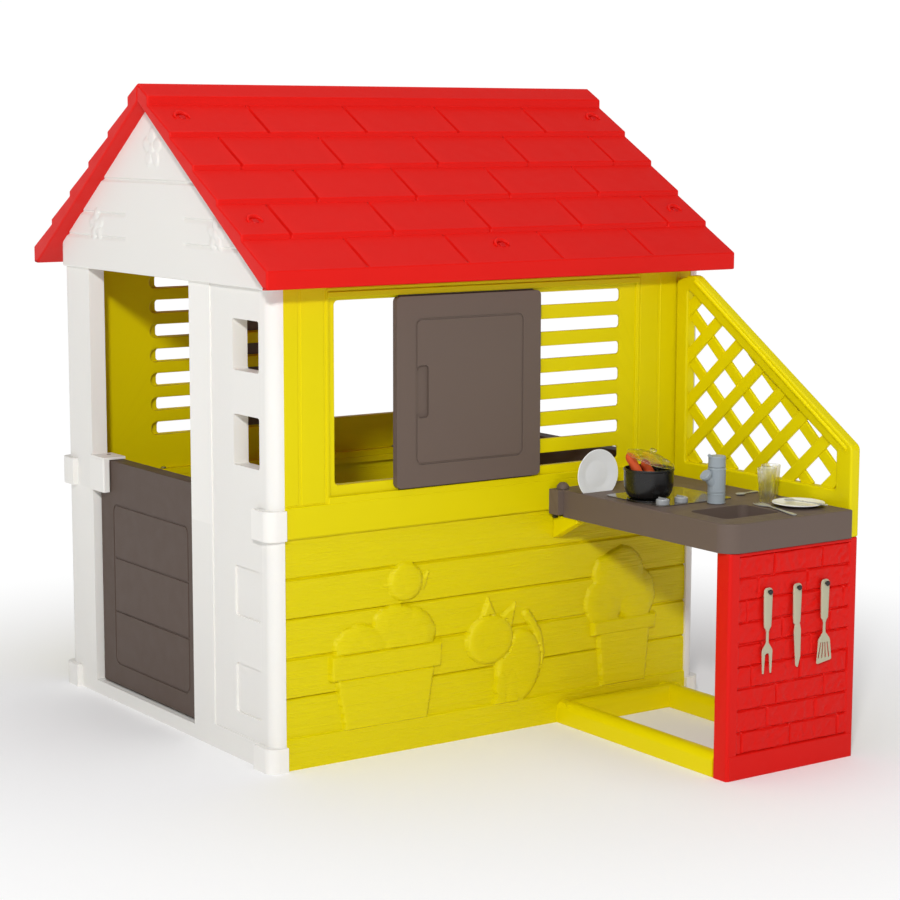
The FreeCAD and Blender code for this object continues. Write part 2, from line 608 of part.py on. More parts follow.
def upper_long_wall():
    """Upper wall of the right side: window, louvres, and the track that the shutter slides in."""
    y0 = -LONG_END
    outline = [(LONG_BACK, y0, SEAM_HEIGHT), (LONG_FACE, y0, SEAM_HEIGHT),
               (LONG_FACE, y0, underside_height(LONG_FACE) - ROOF_SEAT_GAP),
               (LONG_BACK, y0, underside_height(LONG_BACK) - ROOF_SEAT_GAP)]
    wall = prism(outline, (0, LONG_END * 2, 0))
    lip_bottom_top = SHUTTER_BOTTOM - LIP_CLEARANCE
    lip_top_bottom = SHUTTER_TOP + LIP_CLEARANCE
    track = box(LONG_FACE - TRACK_DEPTH, LONG_FACE + 1, TRACK_START, TRACK_START + TRACK_WIDTH,
                SHUTTER_BOTTOM - SHUTTER_TONGUE - TONGUE_GAP, SHUTTER_TOP + SHUTTER_TONGUE + TONGUE_GAP)
    wall = wall.cut(track)
    window = box(LONG_BACK - 1, LONG_FACE + 1, WINDOW_START, WINDOW_START + WINDOW_WIDTH,
                 WINDOW_SILL, WINDOW_HEAD)
    wall = wall.cut(window)
    for row in range(LOUVRE_COUNT):
        head = LOUVRE_HEAD - LOUVRE_PITCH * row
        slot = box(LONG_BACK - 1, LONG_FACE + 1, LOUVRE_START, LOUVRE_START + LOUVRE_WIDTH,
                   head - LOUVRE_SLOT, head)
        wall = wall.cut(slot)
    band = box(LONG_FACE - TRACK_DEPTH / 2, LONG_FACE + LIP_THICKNESS, -LONG_END, LONG_END,
               SEAM_HEIGHT, lip_bottom_top - LIP_HEIGHT)
    lip_start = TRACK_START - LIP_OVERRUN
    lip_end = TRACK_START + TRACK_WIDTH + LIP_OVERRUN
    low_lip = box(LONG_FACE, LONG_FACE + LIP_THICKNESS, lip_start, lip_end,
                  lip_bottom_top - LIP_HEIGHT, lip_bottom_top)
    high_lip = box(LONG_FACE, LONG_FACE + LIP_THICKNESS, lip_start, lip_end,
                   lip_top_bottom, lip_top_bottom + LIP_HEIGHT)
    flange = box(LONG_BACK - FLANGE_DEPTH, LONG_BACK, -LONG_END + FLANGE_DEPTH * 2,
                 LONG_END - FLANGE_DEPTH * 2, SEAM_HEIGHT, SEAM_HEIGHT + FLANGE_HEIGHT)
    wall = fuse([wall, band, low_lip, high_lip, flange])
    wall = screw_holes(wall, long_flange_screws(), SEAM_HEIGHT, SEAM_HEIGHT + FLANGE_HEIGHT)
    return wall.cut(roof_screw_shanks(SEAT_GAP))


def shutter(left_edge):
    """Sliding shutter whose tongues run behind the wall's two lips."""
    back = LONG_FACE - TRACK_DEPTH + SLIDE_GAP
    face = LONG_FACE + SHUTTER_PROUD
    right_edge = left_edge + SHUTTER_WIDTH
    plate = rounded_box(back, face, left_edge, right_edge,
                        SHUTTER_BOTTOM, SHUTTER_TOP, SHUTTER_CORNER, axis=0)
    tongue = box(back, LONG_FACE - SLIDE_GAP, left_edge + TONGUE_INSET, right_edge - TONGUE_INSET,
                 SHUTTER_BOTTOM - SHUTTER_TONGUE, SHUTTER_TOP + SHUTTER_TONGUE)
    body = fuse([plate, tongue])
    field_left = left_edge + SHUTTER_FIELD
    field_right = right_edge - SHUTTER_FIELD
    field_foot = SHUTTER_BOTTOM + SHUTTER_FIELD
    field_head = SHUTTER_TOP - SHUTTER_FIELD
    ring = rounded_box(face - SHUTTER_GROOVE_DEPTH, face + 1, field_left, field_right,
                       field_foot, field_head, SHUTTER_FIELD_CORNER, axis=0)
    core = rounded_box(face - SHUTTER_GROOVE_DEPTH - 1, face + 2,
                       field_left + SHUTTER_GROOVE, field_right - SHUTTER_GROOVE,
                       field_foot + SHUTTER_GROOVE, field_head - SHUTTER_GROOVE,
                       SHUTTER_FIELD_CORNER - SHUTTER_GROOVE, axis=0)
    middle = (SHUTTER_BOTTOM + SHUTTER_TOP) / 2
    grip_left = field_left + SHUTTER_GROOVE
    grip = rounded_box(face - GRIP_DEPTH, face + 1, grip_left, grip_left + GRIP_WIDTH,
                       middle - GRIP_HEIGHT / 2, middle + GRIP_HEIGHT / 2, GRIP_CORNER, axis=0)
    return body.cut(ring.cut(core)).cut(grip)


# ---------------------------------------------------------------- roof and gables

def tile_joint_places(row):
    """Y of the joints between tiles; every second row is shifted by half a tile."""
    if row % 2 == 0:
        return [TILE_PITCH * (step + 0.5) for step in (-2, -1, 0, 1)]
    return [TILE_PITCH * step for step in (-2, -1, 0, 1, 2)]


def roof_outline():
    """Section of the right roof half at Y = 0, from the ridge down to the eave and back."""
    points = [(0, RIDGE_HEIGHT), (CAP_HALF_WIDTH, RIDGE_HEIGHT - CAP_SLOPE_FALL)]
    for row in range(TILE_ROWS):
        x = CAP_HALF_WIDTH + TILE_RUN * row
        z = CAP_FOOT - TILE_FALL * row
        points.append((x, z))
        points.append((x + TILE_RUN, z - TILE_FALL + TILE_STEP))
    inside = ROOF_HALF - FASCIA_THICKNESS
    points += [(ROOF_HALF, EAVE_BOTTOM), (inside, EAVE_BOTTOM)]
    points += [(inside, underside_height(inside)), (0, UNDERSIDE_APEX)]
    return points


def roof_screw_axes():
    """(top point, downward direction) of the right half's screws."""
    fall = TILE_FALL / TILE_RUN
    length = math.hypot(1, fall)
    down = (-fall / length, 0, -1 / length)
    places = [(x, side * (VERGE - ROOF_SCREW_INSET)) for x in ROOF_SCREW_X for side in (-1, 1)]
    places.append((LONG_FACE + LONG_SCREW_OUTSET, 0.0))
    axes = []
    for x, y in places:
        z = CAP_FOOT - fall * (x - CAP_HALF_WIDTH) + TILE_STEP / 2
        axes.append(((x, y, z), down))
    return axes


def roof_screw_shanks(gap):
    shanks = [cylinder(SCREW_SHANK_RADIUS + gap, SCREW_LENGTH + gap, top, down)
              for top, down in roof_screw_axes()]
    return Part.makeCompound(shanks)


def roof_half():
    outline = [(x, -VERGE, z) for x, z in roof_outline()]
    roof = prism(outline, (0, VERGE * 2, 0))
    grooves = []
    slope = math.atan2(TILE_FALL - TILE_STEP, TILE_RUN)
    for row in range(TILE_ROWS):
        x = CAP_HALF_WIDTH + TILE_RUN * row
        z = CAP_FOOT - TILE_FALL * row
        for y in tile_joint_places(row):
            groove = Part.makeBox(TILE_RUN / math.cos(slope) + 2, JOINT_WIDTH, JOINT_DEPTH + JOINT_CLEAR,
                                  FreeCAD.Vector(0, -JOINT_WIDTH / 2, -JOINT_DEPTH))
            groove.rotate(FreeCAD.Vector(0, 0, 0), FreeCAD.Vector(0, 1, 0), math.degrees(slope))
            groove.translate(FreeCAD.Vector(x + JOINT_START, y, z - JOINT_START * math.tan(slope)))
            grooves.append(groove)
    roof = roof.cut(Part.makeCompound(grooves))
    seats = []
    for top, down in roof_screw_axes():
        direction = FreeCAD.Vector(*down)
        outside = FreeCAD.Vector(*top) - direction * ROOF_CLEAR
        depth = ROOF_CLEAR + SCREW_HEAD_HEIGHT - SCREW_HEAD_PROUD
        seats.append(Part.makeCylinder(SCREW_HEAD_RADIUS + SCREW_SEAT_GAP, depth, outside, direction))
    roof = roof.cut(Part.makeCompound(seats))
    return roof.cut(roof_screw_shanks(SEAT_GAP))


def roof_screws():
    """All ten roof screws: domed head and shank."""
    screws = []
    for top, down in roof_screw_axes():
        direction = FreeCAD.Vector(*down)
        start = FreeCAD.Vector(*top) - direction * SCREW_HEAD_PROUD
        head = Part.makeCylinder(SCREW_HEAD_RADIUS, SCREW_HEAD_HEIGHT, start, direction)
        rim = [edge for edge in head.Edges if edge.Closed and edge.CenterOfMass.distanceToPoint(start) < 1]
        head = head.makeFillet(SCREW_HEAD_DOME, rim)
        shank = Part.makeCylinder(SCREW_SHANK_RADIUS, SCREW_LENGTH - SCREW_TIP_GAP, start, direction)
        screws.append(head.fuse(shank).removeSplitter())
    return Part.makeCompound(screws + [half_turn(screw) for screw in screws])


def gable():
    """Front gable: a boarded triangle that sits on the end wall and carries the roof."""
    top_left = underside_height(SIDE_FACE) - ROOF_SEAT_GAP
    apex = UNDERSIDE_APEX - ROOF_SEAT_GAP
    outline = [(-SIDE_FACE, WALL_TOP), (SIDE_FACE, WALL_TOP), (SIDE_FACE, top_left),
               (0, apex), (-SIDE_FACE, top_left)]
    body = prism([(x, -END_FACE - GABLE_PROUD, z) for x, z in outline],
                 (0, GABLE_PROUD + CORNER_RETURN, 0))
    skirt = box(-SIDE_FACE, SIDE_FACE, -END_FACE - GABLE_PROUD, -END_FACE,
                WALL_TOP - GABLE_SKIRT, WALL_TOP)
    body = fuse([body, skirt])
    face = -END_FACE - GABLE_PROUD
    corners = edges_along(body, 2, lambda m: abs(m.x) > SIDE_FACE - 1 and m.y < face + 1)
    body = body.makeFillet(CORNER_RADIUS, corners)
    for z in GABLE_BOARD_HEIGHTS:
        groove = prism([(-ROOF_HALF, face - 1, z - BOARD_GROOVE), (-ROOF_HALF, face - 1, z + BOARD_GROOVE),
                        (-ROOF_HALF, face + BOARD_GROOVE_DEPTH, z)], (ROOF_HALF * 2, 0, 0))
        body = body.cut(groove)
    left_shanks = half_turn(roof_screw_shanks(SEAT_GAP))
    return body.cut(roof_screw_shanks(SEAT_GAP)).cut(left_shanks)


def wall_screws():
    """Screws through the inside flanges, all round the house."""
    screws = []
    start = SEAM_HEIGHT + FLANGE_HEIGHT
    for x, y in long_flange_screws() + end_flange_screws():
        head = cylinder(WALL_SCREW_HEAD_RADIUS, WALL_SCREW_HEAD_HEIGHT, (x, y, start))
        shank = cylinder(WALL_SCREW_SHANK_RADIUS, WALL_SCREW_LENGTH, (x, y, start - WALL_SCREW_LENGTH))
        screws.append(head.fuse(shank).removeSplitter())
    return Part.makeCompound(screws + [half_turn(screw) for screw in screws])


# ---------------------------------------------------------------- kitchen

def side_panel():
    """Brick-faced end panel of the kitchen, with a tongue that goes up under the worktop."""
    x0 = PANEL_FACE - PANEL_THICKNESS
    top = WORKTOP_UNDERSIDE - PANEL_TOP_GAP
    body = rounded_box(x0, PANEL_FACE, PANEL_NEAR_Y, PANEL_FAR_Y, 0, top, PANEL_CORNER)
    tongue = box(x0 + PANEL_SHOULDER, PANEL_FACE - PANEL_SHOULDER, PANEL_NEAR_Y + PANEL_INSET,
                 KITCHEN_BACK - PANEL_INSET, top, WORKTOP_TOP - WORKTOP_SKIN - SEAT_GAP)
    field_y0 = PANEL_NEAR_Y + PANEL_BORDER
    field_y1 = PANEL_FAR_Y - PANEL_BORDER
    field_z0 = BASE_BLOCK_HEIGHT
    course = (top - field_z0) / BRICK_ROWS
    mortar = []
    for row in range(BRICK_ROWS):
        z = field_z0 + course * row
        mortar.append(box(PANEL_FACE - BRICK_RELIEF, PANEL_FACE + 1, field_y0, field_y1,
                          z - MORTAR / 2, z + MORTAR / 2))
        shift = BRICK_LENGTH / 2 if row % 2 else 0.0
        y = field_y0 + shift
        while y < field_y1:
            mortar.append(box(PANEL_FACE - BRICK_RELIEF, PANEL_FACE + 1,
                              y - MORTAR / 2, y + MORTAR / 2, z, z + course))
            y += BRICK_LENGTH
    mortar_field = box(PANEL_FACE - BRICK_RELIEF, PANEL_FACE + 1, field_y0, field_y1,
                       field_z0 - MORTAR, top - MORTAR)
    grooves = mortar[0].multiFuse(mortar[1:]).common(mortar_field)
    panel = fuse([body, tongue]).cut(grooves)
    for y in HOOK_Y:
        panel = panel.cut(cylinder(HOOK_RADIUS, HOOK_ROOT, (PANEL_FACE - HOOK_ROOT, y, HOOK_HEIGHT),
                                   (1, 0, 0)))
    return panel


def lattice_panel():
    """Sloping trellis behind the worktop."""
    near = BRACKET_BACK
    far = PANEL_FACE
    bottom = WORKTOP_UNDERSIDE
    y0 = KITCHEN_BACK
    peak = near + LATTICE_PEAK
    outline = [(near, bottom), (far, bottom), (far, LATTICE_TOP_FAR), (peak, LATTICE_TOP_NEAR),
               (near, LATTICE_TOP_NEAR - LATTICE_NEAR_FALL)]
    panel = prism([(x, y0, z) for x, z in outline], (0, LATTICE_THICKNESS, 0))
    slope = (LATTICE_TOP_NEAR - LATTICE_TOP_FAR) / (far - peak)
    rail = LATTICE_STILE * math.hypot(1, slope)
    inner_near = near + LATTICE_STILE
    inner_far = far - LATTICE_STILE - LATTICE_FAR_MARGIN
    field = [(inner_near, LATTICE_RAIL_TOP), (inner_far, LATTICE_RAIL_TOP),
             (inner_far, LATTICE_TOP_FAR + slope * (far - inner_far) - rail),
             (inner_near, LATTICE_TOP_NEAR + slope * (peak - inner_near) - rail)]
    field_solid = prism([(x, y0, z) for x, z in field], (0, LATTICE_THICKNESS, 0))
    half_x = LATTICE_PITCH_X / 2
    half_z = LATTICE_PITCH_Z / 2
    shrink = LATTICE_STRIP * math.hypot(half_x, half_z) / (2 * half_x * half_z)
    hole_x = half_x * (1 - shrink)
    hole_z = half_z * (1 - shrink)
    holes = []
    columns = int((inner_far - inner_near) / half_x) + 3
    rows = int((LATTICE_TOP_NEAR - LATTICE_RAIL_TOP) / half_z) + 3
    for column in range(-1, columns):
        for row in range(-1, rows):
            if (column + row) % 2:
                continue
            x = inner_near + LATTICE_HOLE_START[0] + half_x * (column - 1)
            z = LATTICE_RAIL_TOP + LATTICE_HOLE_START[1] + half_z * (row - 1)
            points = [(x - hole_x, y0 - 1, z), (x, y0 - 1, z - hole_z),
                      (x + hole_x, y0 - 1, z), (x, y0 - 1, z + hole_z)]
            holes.append(prism(points, (0, LATTICE_THICKNESS + 2, 0)))
    relief = (LATTICE_THICKNESS - LATTICE_STRIP_THICKNESS) / 2
    front = prism([(x, y0 - 1, z) for x, z in field], (0, relief + 1, 0))
    back = prism([(x, y0 + LATTICE_THICKNESS - relief, z) for x, z in field], (0, relief + 1, 0))
    openings = Part.makeCompound(holes).common(field_solid)
    return panel.cut(front).cut(back).cut(openings)


def worktop():
    """Moulded tray: skirt, sunk sink and a slot for an upright plate."""
    x0 = WORKTOP_NEAR_X
    x1 = WORKTOP_FAR_X
    y0 = KITCHEN_FRONT
    y1 = KITCHEN_BACK
    z0 = WORKTOP_UNDERSIDE
    block = box(x0, x1, y0, y1, z0, WORKTOP_TOP)
    block = block.makeFillet(WORKTOP_CORNER,
                             edges_along(block, 2, lambda m: m.x > x1 - 1 and m.y < y0 + 1))
    skin = WORKTOP_SKIN
    hollow = box(x0 + skin, x1 - skin, y0 + skin, y1 - skin, z0 - 1, WORKTOP_TOP - skin)
    hollow = hollow.makeFillet(WORKTOP_CORNER - skin, edges_along(
        hollow, 2, lambda m: m.x > x1 - skin - 1 and m.y < y0 + skin + 1))
    shell = block.cut(hollow)
    rim = [edge for edge in shell.Edges
           if abs(edge.CenterOfMass.z - WORKTOP_TOP) < 0.01 and edge.BoundBox.ZLength < 0.01
           and (edge.CenterOfMass.y < y0 + 20 or edge.CenterOfMass.x > x1 - 20)]
    shell = shell.makeFillet(3.0, rim)
    half_x, half_y = SINK_SIZE[0] / 2, SINK_SIZE[1] / 2
    sink_floor = WORKTOP_TOP - SINK_DEPTH
    tub = rounded_box(SINK_X - half_x - skin, SINK_X + half_x + skin,
                      SINK_Y - half_y - skin, SINK_Y + half_y + skin,
                      sink_floor - skin, WORKTOP_TOP - 1, SINK_CORNER + skin)
    basin = rounded_box(SINK_X - half_x, SINK_X + half_x, SINK_Y - half_y, SINK_Y + half_y,
                        sink_floor, WORKTOP_TOP + 1, SINK_CORNER)
    half_slot = PLATE_HEIGHT / 2 + SEAT_GAP
    slot_near = RACK_Y - RACK_LENGTH / 2
    slot_far = RACK_Y + RACK_LENGTH / 2
    slot_floor = WORKTOP_TOP - RACK_DEPTH
    pocket = box(RACK_X - half_slot - skin, RACK_X + half_slot + skin,
                 slot_near - skin + 1, slot_far + skin, slot_floor - skin, WORKTOP_TOP - 1)
    slot = box(RACK_X - half_slot, RACK_X + half_slot, slot_near, slot_far, slot_floor, WORKTOP_TOP + 1)
    top = fuse([shell, tub, pocket]).cut(basin).cut(slot)
    bore_floor = WORKTOP_TOP - SPINDLE_DEPTH
    for place in HOB_KNOB_PLACES:
        x, y = on_worktop(place)
        boss = cylinder(SPINDLE_RADIUS + BOSS_WALL, SPINDLE_DEPTH + 2,
                        (x, y, bore_floor - BOSS_FLOOR))
        bore = cylinder(SPINDLE_RADIUS + PIN_RUNNING_GAP, SPINDLE_DEPTH + 2, (x, y, bore_floor))
        top = top.fuse(boss).cut(bore)
    return top


def hob_plate():
    half_x, half_y = HOB_SIZE[0] / 2, HOB_SIZE[1] / 2
    plate = rounded_box(HOB_X - half_x, HOB_X + half_x, HOB_Y - half_y, HOB_Y + half_y,
                        WORKTOP_TOP, HOB_TOP, HOB_CORNER)
    for place in HOB_KNOB_PLACES:
        x, y = on_worktop(place)
        plate = plate.cut(cylinder(SPINDLE_RADIUS + SEAT_GAP, HOB_THICKNESS + 2,
                                   (x, y, WORKTOP_TOP - 1)))
    return plate


def hob_burner():
    """Raised round burner that the pot stands on."""
    disc = cylinder(BURNER_RADIUS, BURNER_THICKNESS, (POT_X, POT_Y, HOB_TOP))
    rim = [edge for edge in disc.Edges if edge.Closed and edge.CenterOfMass.z > HOB_TOP + 1]
    return disc.makeFillet(1.0, rim)


def hob_knob(place):
    """Turning knob with a raised pointer and a spindle that goes down into the worktop."""
    x, y = on_worktop(place)
    base = HOB_TOP + SEAT_GAP
    top = base + HOB_KNOB_HEIGHT
    knob = cylinder(HOB_KNOB_RADIUS, HOB_KNOB_HEIGHT, (x, y, base))
    top_edge = [edge for edge in knob.Edges if edge.Closed and edge.CenterOfMass.z > top - 1]
    knob = knob.makeFillet(HOB_KNOB_ROUND, top_edge)
    reach = HOB_KNOB_RADIUS - 1
    pointer = rounded_box(x - reach, x + reach, y - POINTER_WIDTH / 2, y + POINTER_WIDTH / 2,
                          top - POINTER_HEIGHT, top + POINTER_HEIGHT / 2, POINTER_WIDTH * 3 / 8)
    spindle_foot = WORKTOP_TOP - SPINDLE_DEPTH + SPINDLE_END_GAP
    spindle = cylinder(SPINDLE_RADIUS, top - 1 - spindle_foot, (x, y, spindle_foot))
    return fuse([knob, pointer, spindle])


def wall_bracket():
    """Rail on the house wall that carries the worktop's inner edge."""
    y0 = KITCHEN_FRONT - BRACKET_LEAD
    rail = rounded_box(BRACKET_BACK, WORKTOP_NEAR_X, y0, KITCHEN_BACK,
                       WORKTOP_UNDERSIDE + BRACKET_LIFT, WORKTOP_TOP, BRACKET_EDGE, axis=1)
    bore = cylinder(SPINDLE_RADIUS + SEAT_GAP, KNOB_STEM + 2 * SEAT_GAP,
                    knob_place(WORKTOP_TOP - KNOB_STEM - SEAT_GAP))
    return rail.cut(bore)


def knob_place(z):
    return (WORKTOP_NEAR_X - BRACKET_DEPTH / 2, KITCHEN_FRONT + KNOB_INSET, z)


def bracket_knob():
    """Thumb knob that pins the worktop's bracket."""
    z = WORKTOP_TOP + SEAT_GAP
    dome = Part.makeSphere(KNOB_RADIUS, FreeCAD.Vector(*knob_place(z)))
    x, y, base = knob_place(z)
    above = box(x - KNOB_RADIUS, x + KNOB_RADIUS, y - KNOB_RADIUS, y + KNOB_RADIUS,
                base, base + KNOB_RADIUS)
    stem = cylinder(SPINDLE_RADIUS, KNOB_STEM + KNOB_RADIUS / 2, knob_place(WORKTOP_TOP - KNOB_STEM))
    return fuse([dome.common(above), stem])


def gusset_places():
    return (KITCHEN_FRONT + GUSSET_INSET, KITCHEN_BACK - GUSSET_INSET - GUSSET_THICKNESS)


def gussets():
    """Two brackets under the worktop, against the wall."""
    solids = []
    top = WORKTOP_UNDERSIDE
    wall = LONG_FACE - LOWER_WALL_SETBACK
    tip = LONG_FACE + GUSSET_REACH
    for y in gusset_places():
        points = [(wall, y, top - GUSSET_FALL), (wall, y, top), (tip, y, top), (tip, y, top - GUSSET_TIP)]
        solids.append(prism(points, (0, GUSSET_THICKNESS, 0)))
    return Part.makeCompound(solids)


def gusset_clips():
    """Black clips that lock the gussets under the bracket."""
    solids = []
    size = CLIP_SIZE
    x = BRACKET_BACK + CLIP_INSET
    top = WORKTOP_UNDERSIDE + BRACKET_LIFT
    for y in gusset_places():
        solids.append(box(x, x + size, y - size, y, top - size, top))
    return Part.makeCompound(solids)


def floor_frame():
    """U-shaped foot that ties the side panel to the house."""
    x0 = SIDE_FACE
    x1 = PANEL_FACE - PANEL_THICKNESS
    far_y = PANEL_FAR_Y - FRAME_INSET
    near = box(x0, x1, PANEL_NEAR_Y, PANEL_NEAR_Y + FRAME_BAR, 0, FRAME_HEIGHT)
    far = box(x0, x1, far_y - FRAME_BAR, far_y, 0, FRAME_HEIGHT)
    link = box(x0, x0 + FRAME_BAR, PANEL_NEAR_Y, far_y, 0, FRAME_HEIGHT)
    frame = fuse([near, far, link])
    top_edges = [edge for edge in frame.Edges if abs(edge.CenterOfMass.z - FRAME_HEIGHT) < 0.01]
    return frame.makeFillet(FRAME_EDGE, top_edges)


def tool_hooks():
    hooks = []
    for y in HOOK_Y:
        peg = cylinder(HOOK_RADIUS, HOOK_ROOT + HOOK_REACH, (PANEL_FACE - HOOK_ROOT, y, HOOK_HEIGHT),
                       (1, 0, 0))
        head = cylinder(HOOK_HEAD_RADIUS, HOOK_HEAD_THICKNESS,
                        (PANEL_FACE + HOOK_REACH, y, HOOK_HEIGHT), (1, 0, 0))
        hooks.append(peg.fuse(head).removeSplitter())
    return Part.makeCompound(hooks)


def tap_base():
    """Foot of the tap with the spindle that the sleeve and the cap turn on."""
    foot = cylinder(TAP_RADIUS, TAP_BASE_HEIGHT, (TAP_X, TAP_Y, WORKTOP_TOP))
    height = TAP_BASE_HEIGHT + TAP_SLEEVE_HEIGHT + TAP_CAP_HEIGHT - TAP_CAP_CROWN
    spindle = cylinder(TAP_SPINDLE_RADIUS, height, (TAP_X, TAP_Y, WORKTOP_TOP))
    return fuse([foot, spindle])


def tap_sleeve():
    """Turning middle of the tap, with its spout."""
    z0 = WORKTOP_TOP + TAP_BASE_HEIGHT + TAP_RING_GAP
    z1 = z0 + TAP_SLEEVE_HEIGHT - 2 * TAP_RING_GAP
    sleeve = cylinder(TAP_RADIUS, z1 - z0, (TAP_X, TAP_Y, z0))
    rise = math.radians(SPOUT_RISE)
    direction = (0, -math.cos(rise), math.sin(rise))
    start = (TAP_X, TAP_Y, z0 + SPOUT_HEIGHT)
    spout = cylinder(SPOUT_RADIUS, SPOUT_REACH + 4, start, direction)
    end = [start[i] + direction[i] * (SPOUT_REACH + 2) for i in range(3)]
    disc = cylinder(SPOUT_DISC_RADIUS, SPOUT_DISC_THICKNESS, end, direction)
    body = fuse([sleeve, spout, disc])
    bore = cylinder(TAP_SPINDLE_RADIUS + PIN_RUNNING_GAP, z1 - z0 + 2, (TAP_X, TAP_Y, z0 - 1))
    return body.cut(bore)


def tap_cap():
    """Turning cap of the tap with its small ear."""
    z0 = WORKTOP_TOP + TAP_BASE_HEIGHT + TAP_SLEEVE_HEIGHT + TAP_RING_GAP
    cap = cylinder(TAP_RADIUS - 0.5, TAP_CAP_HEIGHT, (TAP_X, TAP_Y, z0))
    rim = [edge for edge in cap.Edges if edge.Closed and edge.CenterOfMass.z > z0 + TAP_CAP_HEIGHT - 1]
    cap = cap.makeFillet(2.0, rim)
    ear = cylinder(TAP_EAR_RADIUS, TAP_EAR_LENGTH,
                   (TAP_X, TAP_Y - TAP_RADIUS + 4.0, z0 + TAP_CAP_HEIGHT - TAP_CAP_CROWN),
                   (0, -math.cos(math.radians(50)), math.sin(math.radians(50))))
    body = fuse([cap, ear])
    depth = TAP_CAP_HEIGHT - TAP_CAP_CROWN
    return body.cut(cylinder(TAP_SPINDLE_RADIUS + PIN_RUNNING_GAP, depth + 0.6,
                             (TAP_X, TAP_Y, z0 - 1)))


# ---------------------------------------------------------------- loose accessories

def pot_profile(inset):
    """(radius, height) up the outside of the pot, moved in by inset."""
    points = []
    steps = 6
    for step in range(steps + 1):
        turn = math.pi / 2 * step / steps
        radius = POT_BASE_RADIUS + (POT_RIM_RADIUS - POT_BASE_RADIUS) * math.sin(turn)
        height = POT_HEIGHT * POT_BELLY * (1 - math.cos(turn))
        points.append((radius - inset, max(height, inset)))
    points.append((POT_RIM_RADIUS - inset, POT_HEIGHT))
    return points


def pot():
    foot = (POT_X, POT_Y, POT_FOOT)
    outside = revolve([(0, 0)] + pot_profile(0) + [(0, POT_HEIGHT)], foot)
    inside = revolve([(0, POT_WALL)] + pot_profile(POT_WALL) + [(0, POT_HEIGHT)], foot)
    return outside.cut(inside)


def lean(along, across, height):
    """A place in the pot: along the lean direction, across it, and above the pot's foot."""
    angle = math.radians(LEAN_ANGLE)
    x = POT_X + along * math.cos(angle) - across * math.sin(angle)
    y = POT_Y + along * math.sin(angle) + across * math.cos(angle)
    return (x, y, POT_FOOT + height)


def sausages():
    """Two sausages that stand in the pot and lean out over its rim."""
    solids = []
    low = POT_WALL + SAUSAGE_RADIUS + SEAT_GAP
    for side in (-0.5, 0.5):
        start = FreeCAD.Vector(*lean(0, side * SAUSAGE_APART, low))
        end = FreeCAD.Vector(*lean(SAUSAGE_RUN, side * SAUSAGE_APART, low + SAUSAGE_LIFT))
        axis = end - start
        body = Part.makeCylinder(SAUSAGE_RADIUS, axis.Length, start, axis)
        tips = [Part.makeSphere(SAUSAGE_RADIUS, start), Part.makeSphere(SAUSAGE_RADIUS, end)]
        solids.append(fuse([body] + tips))
    return Part.makeCompound(solids)


def lid():
    """Domed glass lid that lies tilted on the pot's rim and the sausages."""
    rise = LID_RISE
    curve = (LID_RADIUS ** 2 + rise ** 2) / (2 * rise)
    steps = 6
    top = []
    under = []
    for step in range(steps + 1):
        radius = (LID_RADIUS - 3.0) * step / steps
        height = math.sqrt(curve ** 2 - radius ** 2) - (curve - rise)
        top.append((radius, height + LID_THICKNESS))
        under.append((radius, height))
    outline = top + [(LID_RADIUS, LID_THICKNESS + 1.0), (LID_RADIUS, 0)] + under[::-1]
    dome = revolve(outline, (0, 0, 0))
    stem = cylinder(3.0, 4.0, (0, 0, rise + LID_THICKNESS - 1))
    ball = cylinder(LID_KNOB_RADIUS, LID_KNOB_HEIGHT - 3, (0, 0, rise + LID_THICKNESS + 2))
    whole = fuse([dome, stem, ball])
    whole.rotate(FreeCAD.Vector(0, 0, 0), FreeCAD.Vector(0, 1, 0), -LID_TILT)
    whole.rotate(FreeCAD.Vector(0, 0, 0), FreeCAD.Vector(0, 0, 1), LEAN_ANGLE)
    tilt = math.radians(LID_TILT)
    along = LID_RADIUS * math.cos(tilt) - (POT_RIM_RADIUS - POT_WALL / 2)
    height = POT_HEIGHT + SEAT_GAP + LID_RADIUS * math.sin(tilt)
    whole.translate(FreeCAD.Vector(*lean(along, 0, height)))
    return whole


def plate_solid():
    """Shallow plate, centred, lying with its foot at height 0."""
    foot = PLATE_RADIUS * 0.55
    outside = [(0, 0), (foot, 0), (PLATE_RADIUS * 0.72, 2.5), (PLATE_RADIUS, PLATE_HEIGHT - 2.0),
               (PLATE_RADIUS, PLATE_HEIGHT)]
    inside = [(PLATE_RADIUS * 0.70, 2.5 + PLATE_THICKNESS), (foot, PLATE_THICKNESS), (0, PLATE_THICKNESS)]
    return revolve(outside + inside, (0, 0, 0))


def upright_plate():
    plate = plate_solid()
    plate.rotate(FreeCAD.Vector(0, 0, 0), FreeCAD.Vector(0, 1, 0), 90)
    slot_bottom = WORKTOP_TOP - RACK_DEPTH
    plate.translate(FreeCAD.Vector(RACK_X - PLATE_HEIGHT / 2, RACK_Y,
                                   slot_bottom + SEAT_GAP + PLATE_RADIUS))
    return plate


def flat_plate():
    plate = plate_solid()
    x, y = on_worktop(PLATE_PLACE)
    plate.translate(FreeCAD.Vector(x, y, ON_WORKTOP))
    return plate


def tumbler(place):
    x, y = on_worktop(place)
    wall = TUMBLER_WALL
    outline = [(0, 0), (TUMBLER_BASE_RADIUS, 0), (TUMBLER_TOP_RADIUS, TUMBLER_HEIGHT),
               (TUMBLER_TOP_RADIUS - wall, TUMBLER_HEIGHT),
               (TUMBLER_BASE_RADIUS - wall, TUMBLER_FLOOR), (0, TUMBLER_FLOOR)]
    return revolve(outline, (x, y, ON_WORKTOP))


def flat_tool(outline, thickness):
    """A flat piece of cutlery drawn along +X from its tip at the origin."""
    return prism([(x, y, 0) for x, y in outline], (0, 0, thickness))


